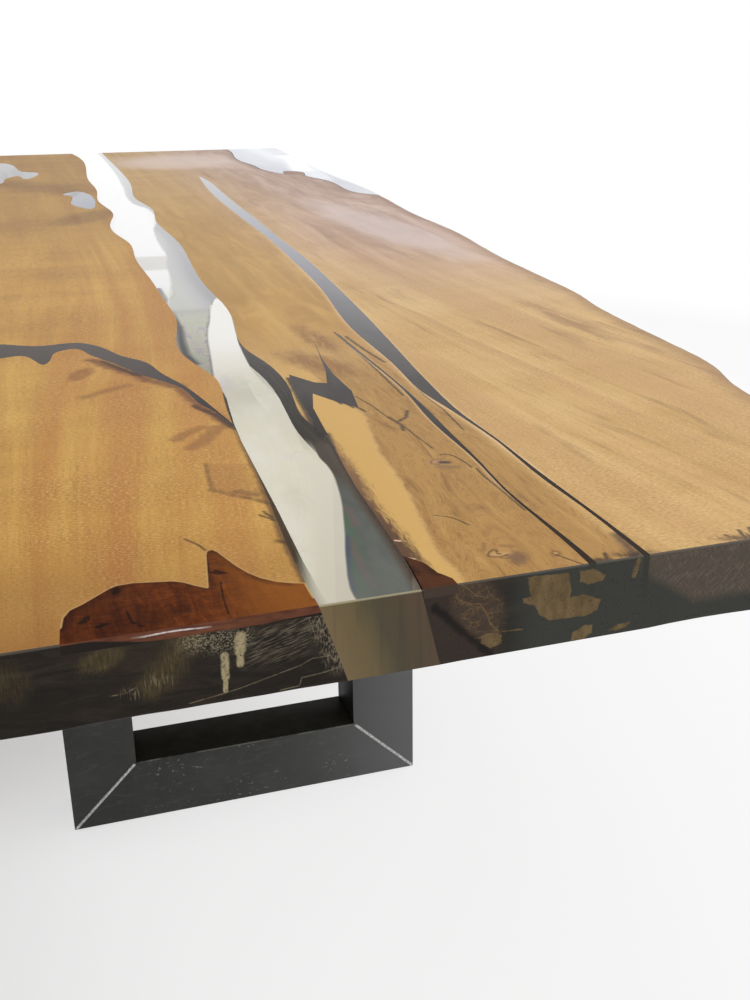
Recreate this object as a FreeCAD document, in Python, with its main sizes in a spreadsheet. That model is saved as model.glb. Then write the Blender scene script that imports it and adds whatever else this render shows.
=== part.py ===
"""Live edge dining table: two wood slabs joined by a clear resin river, on two welded steel U frames.

Millimetres. The origin is on the floor under the middle of the table, +Z is up, and +Y runs along the
table from its front end to its far end.
"""
import FreeCAD, Part
import os

Vector = FreeCAD.Vector
Rotation = FreeCAD.Rotation

# Driving dimensions
SIZES = {
    "table_length": 3680,
    "table_width": 1380,
    "table_height": 750,
    "slab_thickness": 64,
    "front_skew": 21,
    "edge_undercut": 18,
    "crack_depth": 36,
    "left_crack_depth": 30,
    "branch_depth": 24,
    "pocket_depth": 14,
    "chip_depth": 8,
    "frame_width": 540,
    "frame_spacing": 1858,
    "section_face": 100,
    "section_depth": 92,
    "section_wall": 5,
    "weld_width": 5,
    "weld_height": 1.5,
    "glide_length": 70,
    "glide_width": 70,
    "glide_height": 2,
    "flange_length": 184,
    "flange_width": 172,
    "flange_thickness": 8,
    "screw_inset": 22,
    "screw_diameter": 8,
    "screw_length": 28,
    "head_diameter": 13,
    "head_height": 8,
    "socket_across_corners": 6.9,
    "socket_depth": 4,
    "washer_diameter": 16,
    "washer_thickness": 1.6,
    "hole_clearance": 0.5,
    "insert_diameter": 14,
    "insert_length": 20,
    "tip_clearance": 4,
}

doc = FreeCAD.newDocument("live_edge_table")
sheet = doc.addObject("Spreadsheet::Sheet", "sizes")
for row, (alias, value) in enumerate(SIZES.items(), start=1):
    sheet.set(f"A{row}", alias)
    sheet.set(f"B{row}", str(value))
    sheet.setAlias(f"B{row}", alias)
doc.recompute()


def size(alias):
    return float(sheet.get(alias))


# The outlines below are drawn at full size, and stretch with the table's length and width.
# A live edge has points (x, y), and leans inwards by the undercut at the underside.
# The other edges have points (x, y, lean): lean is how far they have moved along X at the underside.
LEFT_LIVE_EDGE = [(-560, -1840), (-572, -1620), (-588, -1380), (-571, -1130), (-590, -860), (-612, -560),
                  (-602, -250), (-622, 90), (-650, 430), (-642, 800), (-660, 1180), (-678, 1500), (-690, 1840)]
FRONT_END = LEFT_LIVE_EDGE[0][1]
FAR_END = LEFT_LIVE_EDGE[-1][1]
PAST_FRONT = 1.02 * FRONT_END
RIGHT_LIVE_EDGE = [(487, FRONT_END), (492, -1700), (497, -1580), (502, -1460), (509, -1422), (530, -1350),
                   (538, -1270), (545, -1110), (552, -1000), (567, -900), (573, -800), (577, -650), (590, -450),
                   (608, -280), (613, -100), (614, 50), (630, 250), (640, 400)]
# The corner's two edges both start where the right live edge ends
CORNER_OUTER_EDGE = [(647, 520), (648, 1041), (663, 1299), (680, 1620), (690, FAR_END)]
CORNER_INNER_EDGE = [(606, 450, 0), (596, 600, 0), (592, 800, 0), (573, 900, 0), (572, 1030, 0), (548, 1045, 0),
                     (526, 975, 0), (501, 1040, 0), (491, 1222, 0), (479, 1397, 0), (510, 1720, 0),
                     (516, FAR_END, 0)]
RIVER_LEFT_EDGE = [(-85, FRONT_END, 20), (-82, -1719, 15), (-74, -1606, 11), (-68, -1497, 8), (-64, -1392, 7),
                   (-55, -1289, 6), (-50, -1221, 6), (-61, -1150, 10), (-71, -1069, 17), (-50, -894, 8),
                   (-47, -758, 6), (-46, -555, 5), (-47, -351, 5), (-39, -175, 5), (-52, -50, 8), (-50, 97, 8),
                   (-29, 254, 4), (-41, 481, 8), (-27, 712, 4), (-28, 958, 6), (-7, 1358, 4), (-19, FAR_END, 5)]
RIVER_RIGHT_EDGE = [(-9, FRONT_END, 15), (-1, -1740, 8), (4, -1627, -2), (11, -1540, -5), (16, -1468, -9),
                    (10, -1402, -6), (21, -1290, -10), (24, -1223, -10), (20, -1158, -8), (10, -1085, -4),
                    (21, -951, 2), (32, -808, -6), (30, -687, -10), (39, -445, -11), (52, -206, -11),
                    (49, -56, -8), (50, 142, -10), (64, 293, -12), (50, 511, -8), (64, 727, -10),
                    (80, 1144, -10), (81, 1462, -10), (82, FAR_END, -10)]

# Cracks that run along the grain: centre line and width
LONG_CRACK = [(174, PAST_FRONT, 5), (175, -1798, 5), (175, -1754, 4), (174, -1706, 4), (172, -1652, 5),
              (172, -1595, 4), (173, -1531, 3), (170, -1470, 4), (168, -1418, 7), (167, -1345, 17),
              (174, -1240, 20), (186, -1030, 35), (210, -765, 28), (230, -435, 26), (239, -200, 21), (245, 40, 27),
              (250, 265, 28), (256, 466, 29), (262, 600, 28), (275, 825, 20), (279, 972, 3)]
BRANCH_CRACK = [(126, PAST_FRONT, 8), (128, -1750, 4), (127, -1660, 2.5), (132, -1584, 3), (134, -1505, 6),
                (136, -1450, 8), (142, -1348, 4), (143, -1219, 3), (143, -1043, 2)]

# Outline of the crack across the left slab: far side, then near side back to the start
LEFT_CRACK_FAR = [(-455, -1015), (-380, -978), (-286, -958), (-236, -984), (-198, -980), (-160, -1024),
                  (-140, -1076), (-122, -1104), (-108, -1164), (-93, -1220), (-80, -1285), (-70, -1353),
                  (-62, -1410)]
LEFT_CRACK_NEAR = [(-62, -1410), (-68, -1388), (-74, -1348), (-84, -1313), (-89, -1272), (-96, -1236),
                   (-114, -1200), (-132, -1166), (-150, -1120), (-168, -1080), (-182, -1046), (-199, -1014),
                   (-216, -1022), (-228, -1062), (-237, -1084), (-247, -1060), (-264, -1030), (-287, -1036),
                   (-380, -1022), (-455, -1015)]
STAR_POCKET = [(102, -1075), (89, -1171), (84, -1241), (85, -1316), (74, -1382), (60, -1357), (41, -1312),
               (28, -1366), (19, -1462), (6, -1463), (16, -1410), (25, -1286), (34, -1224), (54, -1267),
               (67, -1275), (79, -1223)]
INNER_POCKET = [(-111, 648), (-95, 700), (-77, 713), (-60, 680), (-49, 610), (-48, 520), (-55, 420), (-72, 358),
                (-90, 390), (-104, 510)]
OUTER_POCKET = [(-169, 1113), (-195, 1067), (-214, 1150), (-239, 1109), (-263, 960), (-289, 919), (-320, 1137),
                (-297, 1489), (-255, 1558), (-213, 1428), (-189, 1264)]
LEFT_CHIP = [(-262, PAST_FRONT), (-258, -1811), (-256, -1796), (-251, -1785), (-242, -1778), (-232, -1768),
             (-222, -1758), (-216, -1754), (-204, -1753), (-190, -1756), (-176, -1759), (-168, -1764),
             (-161, -1772), (-154, -1779), (-150, -1750), (-146, -1721), (-144, -1713), (-139, -1710),
             (-135, -1717), (-131, -1731), (-126, -1748), (-120, -1763), (-113, -1775), (-104, -1784),
             (-95, -1790), (-84, -1794), (-60, -1796), (-60, PAST_FRONT)]
RIGHT_CHIP = [(-20, -1765), (-3, -1771), (1, -1776), (8, -1787), (10, -1796), (12, -1808), (15, -1813),
              (19, -1821), (21, PAST_FRONT), (-20, PAST_FRONT)]

DRAWN_LENGTH = FAR_END - FRONT_END
DRAWN_WIDTH = CORNER_OUTER_EDGE[-1][0] - LEFT_LIVE_EDGE[-1][0]

TOP = size("table_height")
UNDERSIDE = TOP - size("slab_thickness")
TOOL_MARGIN = 5
TOUCHING = 0.001


def front_y(x):
    """Y of the front end at x: the end is cut a little out of square."""
    left_corner = LEFT_LIVE_EDGE[0][0] * size("table_width") / DRAWN_WIDTH
    return -size("table_length") / 2 + (x - left_corner) * size("front_skew") / size("table_width")


def on_table(x, y, z, lean=0):
    """The drawn point x, y as a point of the real table at height z, moved by lean along X."""
    real_x = x * size("table_width") / DRAWN_WIDTH + lean
    real_y = y * size("table_length") / DRAWN_LENGTH
    if y == FRONT_END:
        real_y = front_y(real_x)
    return Vector(real_x, real_y, z)


def edge_points(edge, z):
    """The points of a drawn edge at the top or at the underside, where it leans."""
    points = []
    for x, y, *own_lean in edge:
        inwards = -size("edge_undercut") if x > 0 else size("edge_undercut")
        lean = own_lean[0] if own_lean else inwards
        points.append(on_table(x, y, z, lean if z == UNDERSIDE else 0))
    return points


def smooth(points):
    curve = Part.BSplineCurve()
    curve.interpolate(points)
    return curve.toShape()


def ring(*runs):
    """A closed wire of smooth runs, with a straight line wherever one run doesn't meet the next."""
    edges = []
    for run, following in zip(runs, runs[1:] + runs[:1]):
        edges.append(smooth(run))
        if run[-1].distanceToPoint(following[0]) > TOUCHING:
            edges.append(Part.makeLine(run[-1], following[0]))
    return Part.Wire(edges)


def plain_feature(label, shape):
    feature = doc.addObject("Part::Feature", label)
    feature.Shape = shape
    feature.Placement = FreeCAD.Placement()
    return feature


def slab(label, runs_at):
    """A solid of the slab's full thickness between the outlines that runs_at gives for a height."""
    return plain_feature(label, Part.makeLoft([ring(*runs_at(TOP)), ring(*runs_at(UNDERSIDE))], True, True))


def left_runs(z):
    return edge_points(RIVER_LEFT_EDGE, z), edge_points(LEFT_LIVE_EDGE, z)[::-1]


def river_runs(z):
    return edge_points(RIVER_RIGHT_EDGE, z), edge_points(RIVER_LEFT_EDGE, z)[::-1]


def right_runs(z):
    live_edge = edge_points(RIGHT_LIVE_EDGE, z)
    corner = live_edge[-1:] + edge_points(CORNER_INNER_EDGE, z)
    return live_edge, corner, edge_points(RIVER_RIGHT_EDGE, z)[::-1]


def corner_runs(z):
    tip = edge_points(RIGHT_LIVE_EDGE, z)[-1:]
    return tip + edge_points(CORNER_OUTER_EDGE, z), (tip + edge_points(CORNER_INNER_EDGE, z))[::-1]


def pocket_tool(label, depth, outline_at):
    """A prism from a pocket's floor up past the table's top, on the outline that outline_at gives."""
    floor = Part.Face(outline_at(TOP - size(depth)))
    return plain_feature(label, floor.extrude(Vector(0, 0, size(depth) + TOOL_MARGIN)))


def flat(points, z):
    return [on_table(x, y, z) for x, y in points]


def crack_outline(centre_line, z):
    left_side = [on_table(x, y, z, -width / 2) for x, y, width in centre_line]
    right_side = [on_table(x, y, z, width / 2) for x, y, width in centre_line]
    return ring(right_side, left_side[::-1])


def straight_outline(points, z):
    corners = flat(points, z)
    return Part.makePolygon(corners + corners[:1])


def round_outline(points, z):
    curve = Part.BSplineCurve()
    curve.interpolate(flat(points, z), PeriodicFlag=True)
    return Part.Wire(curve.toShape())


def bind(feature, **expressions):
    for name, expression in expressions.items():
        path = f"Placement.Base.{name}" if name in ("x", "y", "z") else name
        feature.setExpression(path, expression)
    return feature


def box(label, length, width, height, x, y, z):
    return bind(doc.addObject("Part::Box", label), Length=length, Width=width, Height=height, x=x, y=y, z=z)


def cylinder(label, radius, height, x="0", y="0", z="0"):
    return bind(doc.addObject("Part::Cylinder", label), Radius=radius, Height=height, x=x, y=y, z=z)


def boolean(kind, label, base, tool):
    feature = doc.addObject(f"Part::{kind}", label)
    feature.Base = base
    feature.Tool = tool
    return feature


def fused(label, features):
    feature = doc.addObject("Part::MultiFuse", label)
    feature.Shapes = features
    return feature


def compound(label, features):
    feature = doc.addObject("Part::Compound", label)
    feature.Links = features
    return feature


SUB_PARTS = []


def sub_part(feature):
    SUB_PARTS.append(feature)
    return feature


# Wood and resin
left_blank = slab("left_blank", left_runs)
right_blank = slab("right_blank", right_runs)
sub_part(slab("river_resin", river_runs))
sub_part(slab("corner_pocket_resin", corner_runs))

LEFT_FILLS = {
    "left_crack_resin": ("left_crack_depth", lambda z: ring(flat(LEFT_CRACK_FAR, z), flat(LEFT_CRACK_NEAR, z))),
    "inner_pocket_resin": ("pocket_depth", lambda z: round_outline(INNER_POCKET, z)),
    "outer_pocket_resin": ("pocket_depth", lambda z: round_outline(OUTER_POCKET, z)),
    "left_chip_resin": ("chip_depth", lambda z: straight_outline(LEFT_CHIP, z)),
}
RIGHT_FILLS = {
    "long_crack_resin": ("crack_depth", lambda z: crack_outline(LONG_CRACK, z)),
    "branch_crack_resin": ("branch_depth", lambda z: crack_outline(BRANCH_CRACK, z)),
    "star_pocket_resin": ("pocket_depth", lambda z: straight_outline(STAR_POCKET, z)),
    "right_chip_resin": ("chip_depth", lambda z: straight_outline(RIGHT_CHIP, z)),
}


def fill_pockets(wood_blank, fills):
    """Make the resin in each pocket of a slab, and give back the tools that cut the pockets."""
    tools = []
    for label, (depth, outline_at) in fills.items():
        tool = pocket_tool(f"{label}_tool", depth, outline_at)
        sub_part(boolean("Common", label, wood_blank, tool))
        tools.append(tool)
    return tools


# Frames: each side of each frame carries a flange with a screw in every corner
FRAMES = {"near": -1, "far": 1}
SIDES = {"left": -1, "right": 1}
CORNERS = [(-1, -1), (1, -1), (1, 1), (-1, 1)]
UPRIGHT_HEIGHT = "(sizes.table_height - sizes.slab_thickness - sizes.flange_thickness - sizes.glide_height)"
FLANGE_Z = "(sizes.table_height - sizes.slab_thickness - sizes.flange_thickness)"
CAVITY_DEPTH = "sizes.section_depth - 2 * sizes.section_wall"
WELD_RADIUS = "((sizes.weld_width^2 / 4 + sizes.weld_height^2) / (2 * sizes.weld_height))"
WELD_SETBACK = f"{WELD_RADIUS} * sqrt(2) / 2"


def frame_y(end):
    return f"({end} * sizes.frame_spacing / 2)"


def upright_x(hand):
    return f"({hand} * (sizes.frame_width - sizes.section_face) / 2)"


def upright(label, end, hand):
    """A box-section post, open at both ends, its foot cut at 45 degrees for the mitre."""
    post = bind(doc.addObject("Part::Wedge", f"{label}_outside"),
                Xmin="0", Xmax=UPRIGHT_HEIGHT, X2min="sizes.section_face", X2max=UPRIGHT_HEIGHT,
                Ymin="0", Ymax="sizes.section_face",
                Zmin="0", Zmax="sizes.section_depth", Z2min="0", Z2max="sizes.section_depth")
    turn = Rotation(Vector(1, 1, 1), 240)
    if hand > 0:
        turn = Rotation(Vector(0, 0, 1), 180).multiply(turn)
    post.Placement = FreeCAD.Placement(Vector(), turn)
    bind(post, x=f"{hand} * sizes.frame_width / 2", y=f"{frame_y(end)} + {hand} * sizes.section_depth / 2",
         z="sizes.glide_height")
    cavity = box(f"{label}_cavity", "sizes.section_face - 2 * sizes.section_wall", CAVITY_DEPTH, UPRIGHT_HEIGHT,
                 f"{upright_x(hand)} - sizes.section_face / 2 + sizes.section_wall",
                 f"{frame_y(end)} - sizes.section_depth / 2 + sizes.section_wall", "sizes.glide_height")
    return sub_part(boolean("Cut", label, post, cavity))


def floor_rail(label, end):
    """The box-section rail on the floor, mitred at both ends."""
    rail = bind(doc.addObject("Part::Wedge", f"{label}_outside"),
                Xmin="0", Xmax="sizes.frame_width",
                X2min="sizes.section_face", X2max="sizes.frame_width - sizes.section_face",
                Ymin="0", Ymax="sizes.section_face",
                Zmin="0", Zmax="sizes.section_depth", Z2min="0", Z2max="sizes.section_depth")
    rail.Placement = FreeCAD.Placement(Vector(), Rotation(Vector(1, 0, 0), 90))
    bind(rail, x="-sizes.frame_width / 2", y=f"{frame_y(end)} + sizes.section_depth / 2", z="sizes.glide_height")
    cavity = box(f"{label}_cavity", "sizes.frame_width", CAVITY_DEPTH,
                 "sizes.section_face - 2 * sizes.section_wall", "-sizes.frame_width / 2",
                 f"{frame_y(end)} - sizes.section_depth / 2 + sizes.section_wall",
                 "sizes.glide_height + sizes.section_wall")
    return sub_part(boolean("Cut", label, rail, cavity))


def weld_seams(label, end):
    """A low bead along each mitre, on the front and back of the frame."""
    envelope = box(f"{label}_envelope", "sizes.frame_width", "sizes.section_depth", UPRIGHT_HEIGHT,
                   "-sizes.frame_width / 2", f"{frame_y(end)} - sizes.section_depth / 2", "sizes.glide_height")
    beads = []
    for hand in SIDES.values():
        for face in (-1, 1):
            name = f"{label}_{len(beads)}"
            rod = doc.addObject("Part::Cylinder", f"{name}_rod")
            rod.Placement = FreeCAD.Placement(Vector(), Rotation(Vector(0, 1, 0), -45 * hand))
            bind(rod, Radius=WELD_RADIUS, Height=f"sizes.section_face * sqrt(2) - 2 * {WELD_RADIUS}",
                 x=f"{hand} * (sizes.frame_width / 2 - {WELD_SETBACK})",
                 y=f"{frame_y(end)} + {face} * (sizes.section_depth / 2 - {WELD_RADIUS} + sizes.weld_height)",
                 z=f"sizes.glide_height + {WELD_SETBACK}")
            beads.append(boolean("Cut", name, rod, envelope))
    return sub_part(compound(label, beads))


def screw_x(hand, side):
    return f"{upright_x(hand)} + {side} * (sizes.flange_length / 2 - sizes.screw_inset)"


def screw_y(end, side):
    return f"{frame_y(end)} + {side} * (sizes.flange_width / 2 - sizes.screw_inset)"


def corner_holes(label, end, hand, radius, height, z):
    """Four cylinders on the screw axes of one flange, to cut holes with."""
    return [cylinder(f"{label}_hole_{index}", radius, height, screw_x(hand, across), screw_y(end, along), z)
            for index, (across, along) in enumerate(CORNERS)]


def flange(label, end, hand):
    plate = box(f"{label}_plate", "sizes.flange_length", "sizes.flange_width", "sizes.flange_thickness",
                f"{upright_x(hand)} - sizes.flange_length / 2",
                f"{frame_y(end)} - sizes.flange_width / 2", FLANGE_Z)
    holes = corner_holes(label, end, hand, "sizes.screw_diameter / 2 + sizes.hole_clearance",
                         "sizes.flange_thickness", FLANGE_Z)
    return sub_part(boolean("Cut", label, plate, fused(f"{label}_holes", holes)))


def insert_holes(side_name):
    """The blind holes for the threaded inserts in the underside of one slab."""
    holes = []
    for end_name, end in FRAMES.items():
        holes += corner_holes(f"{side_name}_{end_name}_insert", end, SIDES[side_name],
                              "sizes.insert_diameter / 2", "sizes.insert_length + sizes.tip_clearance",
                              "sizes.table_height - sizes.slab_thickness")
    return holes


def glides(label):
    pads = []
    for end_name, end in FRAMES.items():
        for side_name, hand in SIDES.items():
            pads.append(box(f"{end_name}_{side_name}_glide", "sizes.glide_length", "sizes.glide_width",
                            "sizes.glide_height", f"{upright_x(hand)} - sizes.glide_length / 2",
                            f"{frame_y(end)} - sizes.glide_width / 2", "0"))
    return sub_part(compound(label, pads))


for end_name, end in FRAMES.items():
    for side_name, hand in SIDES.items():
        upright(f"{end_name}_{side_name}_upright", end, hand)
        flange(f"{end_name}_{side_name}_flange", end, hand)
    floor_rail(f"{end_name}_floor_rail", end)
    weld_seams(f"{end_name}_weld_seams", end)
glides("glides")

for side_name, wood_blank, fills in (("left", left_blank, LEFT_FILLS), ("right", right_blank, RIGHT_FILLS)):
    tools = fill_pockets(wood_blank, fills) + insert_holes(side_name)
    sub_part(boolean("Cut", f"{side_name}_slab", wood_blank, compound(f"{side_name}_slab_tools", tools)))


# Fasteners: one of each is modelled on the origin, with the flange's lower face at z = 0
def cap_screw():
    shank = cylinder("screw_shank", "sizes.screw_diameter / 2", "sizes.screw_length", z="-sizes.washer_thickness")
    head = cylinder("screw_head", "sizes.head_diameter / 2", "sizes.head_height",
                    z="-sizes.washer_thickness - sizes.head_height")
    socket = bind(doc.addObject("Part::Prism", "screw_socket"), Circumradius="sizes.socket_across_corners / 2",
                  Height="sizes.socket_depth", z="-sizes.washer_thickness - sizes.head_height")
    socket.Polygon = 6
    return boolean("Cut", "one_screw", fused("solid_screw", [shank, head]), socket)


def washer():
    disc = cylinder("washer_disc", "sizes.washer_diameter / 2", "sizes.washer_thickness",
                    z="-sizes.washer_thickness")
    bore = cylinder("washer_bore", "sizes.screw_diameter / 2 + sizes.hole_clearance / 2",
                    "sizes.washer_thickness", z="-sizes.washer_thickness")
    return boolean("Cut", "one_washer", disc, bore)


def threaded_insert():
    sleeve = cylinder("insert_sleeve", "sizes.insert_diameter / 2", "sizes.insert_length",
                      z="sizes.flange_thickness")
    bore = cylinder("insert_bore", "sizes.screw_diameter / 2", "sizes.insert_length", z="sizes.flange_thickness")
    return boolean("Cut", "one_insert", sleeve, bore)


def screw_spots():
    """Where the screw axes meet the lower faces of the flanges."""
    z = UNDERSIDE - size("flange_thickness")
    across_step = size("flange_length") / 2 - size("screw_inset")
    along_step = size("flange_width") / 2 - size("screw_inset")
    spots = []
    for end in FRAMES.values():
        for hand in SIDES.values():
            for across, along in CORNERS:
                x = hand * (size("frame_width") - size("section_face")) / 2 + across * across_step
                y = end * size("frame_spacing") / 2 + along * along_step
                spots.append(Vector(x, y, z))
    return spots


fasteners = {"flange_screws": cap_screw(), "washers": washer(), "threaded_inserts": threaded_insert()}
doc.recompute()
for label, one in fasteners.items():
    copies = [one.Shape.translated(spot) for spot in screw_spots()]
    sub_part(plain_feature(label, Part.makeCompound(copies)))
doc.recompute()

# Nothing is written unless every object is sound
for feature in doc.Objects:
    if "Invalid" in feature.State or "Error" in feature.State:
        raise RuntimeError(f"{feature.Label} failed: {feature.State}")
for feature in SUB_PARTS:
    if feature.Shape.isNull() or not feature.Shape.isValid() or not feature.Shape.Solids:
        raise RuntimeError(f"{feature.Label} has no valid solid")

os.makedirs("parts", exist_ok=True)
for feature in SUB_PARTS:
    feature.Shape.exportStep(f"parts/{feature.Label}.step")
    print(f"{feature.Label}: {len(feature.Shape.Solids)} solids, {feature.Shape.Volume / 1000:.1f} cm3")
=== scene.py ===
"""Looks of the live edge dining table: wood slabs, clear resin river, resin-filled cracks and steel frames.

Metres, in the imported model's own frame: the floor is z = 0 and +Y runs from the front end to the far end.
Only the strokes, patches and areas that are painted on surfaces are given in millimetres.
"""
import functools
import math

import bmesh
import bpy
import numpy as np
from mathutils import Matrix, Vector, noise
from mathutils.geometry import delaunay_2d_cdt

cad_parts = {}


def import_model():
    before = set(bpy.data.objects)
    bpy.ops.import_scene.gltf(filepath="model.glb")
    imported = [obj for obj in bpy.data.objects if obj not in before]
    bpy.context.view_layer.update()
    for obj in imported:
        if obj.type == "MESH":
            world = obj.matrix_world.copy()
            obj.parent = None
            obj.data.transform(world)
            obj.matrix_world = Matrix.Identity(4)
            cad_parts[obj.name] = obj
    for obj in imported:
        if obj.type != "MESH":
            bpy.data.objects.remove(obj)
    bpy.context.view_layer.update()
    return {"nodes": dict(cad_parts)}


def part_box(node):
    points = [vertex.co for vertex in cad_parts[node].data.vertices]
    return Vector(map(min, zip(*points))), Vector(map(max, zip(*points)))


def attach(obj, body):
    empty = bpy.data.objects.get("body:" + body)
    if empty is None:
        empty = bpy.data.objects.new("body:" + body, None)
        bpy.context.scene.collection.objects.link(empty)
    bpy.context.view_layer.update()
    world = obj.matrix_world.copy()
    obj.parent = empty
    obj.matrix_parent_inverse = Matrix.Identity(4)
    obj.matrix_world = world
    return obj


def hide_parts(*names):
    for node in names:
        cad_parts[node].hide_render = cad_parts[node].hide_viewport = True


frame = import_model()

NODES = frame["nodes"]
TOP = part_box("left_slab")[1].z
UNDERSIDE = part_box("left_slab")[0].z
THICKNESS = TOP - UNDERSIDE
FRONT_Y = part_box("left_slab")[0].y
MILLIMETRE = 0.001

# Photograph's camera: metres, degrees downwards and to the right, and pixels
CAMERA_PLACE = (-0.260, -2.566, 1.118)
CAMERA_PITCH = 21.6214
CAMERA_YAW = 18.7678
FOCAL_PIXELS = 1193.89
PRINCIPAL_POINT = (419.15, 511.26)
PHOTO_SIZE = (750, 1000)


# Node trees
def rgba(colour):
    """Linear RGBA of a colour, which is six hex digits or the level of a grey."""
    if not isinstance(colour, str):
        return (colour, colour, colour, 1.0)
    channels = [int(colour[i:i + 2], 16) / 255 for i in (0, 2, 4)]
    return tuple(c / 12.92 if c < 0.04045 else ((c + 0.055) / 1.055) ** 2.4 for c in channels) + (1.0,)


class Value:
    """A number that one of a paint's nodes gives, with the sums and limits that marks are made of."""

    def __init__(self, paint, socket):
        self.paint = paint
        self.socket = socket

    def __add__(self, other):
        return self.paint.math("ADD", self, other)

    def __sub__(self, other):
        return self.paint.math("SUBTRACT", self, other)

    def __mul__(self, other):
        return self.paint.math("MULTIPLY", self, other)

    def __abs__(self):
        return self.paint.math("ABSOLUTE", self)

    def rise(self, low, high):
        """0 below low, 1 above high, and smooth between."""
        inputs = {"Value": self, "From Min": low, "From Max": high}
        return self.paint.number("MapRange", inputs, interpolation_type="SMOOTHSTEP")

    def between(self, low, high, soft):
        """1 from low to high, and soft beyond them."""
        return self.rise(low - soft, low) * self.rise(high + soft, high)

    def spread(self, low, high):
        """A share from 0 to 1 as a value from low to high."""
        return self.paint.math("MULTIPLY_ADD", self, high - low, low)

    def ramp(self, *stops):
        """A colour for each value: stops are (value, colour)."""
        node = self.paint.add("ValToRGB", {0: self})
        elements = node.color_ramp.elements
        while len(elements) < len(stops):
            elements.new(0.5)
        for element, (position, colour) in zip(elements, stops):
            element.position = position
            element.color = rgba(colour)
        return node.outputs[0]


def most(*values):
    """The largest of some values."""
    return functools.reduce(lambda a, b: a.paint.math("MAXIMUM", a, b), values)


def least(values):
    return functools.reduce(lambda a, b: a.paint.math("MINIMUM", a, b), values)


def on_plane(points):
    """Points of the painted plane, from millimetres."""
    return [Vector((u, v, 0)) * MILLIMETRE for u, v in points]


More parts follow.
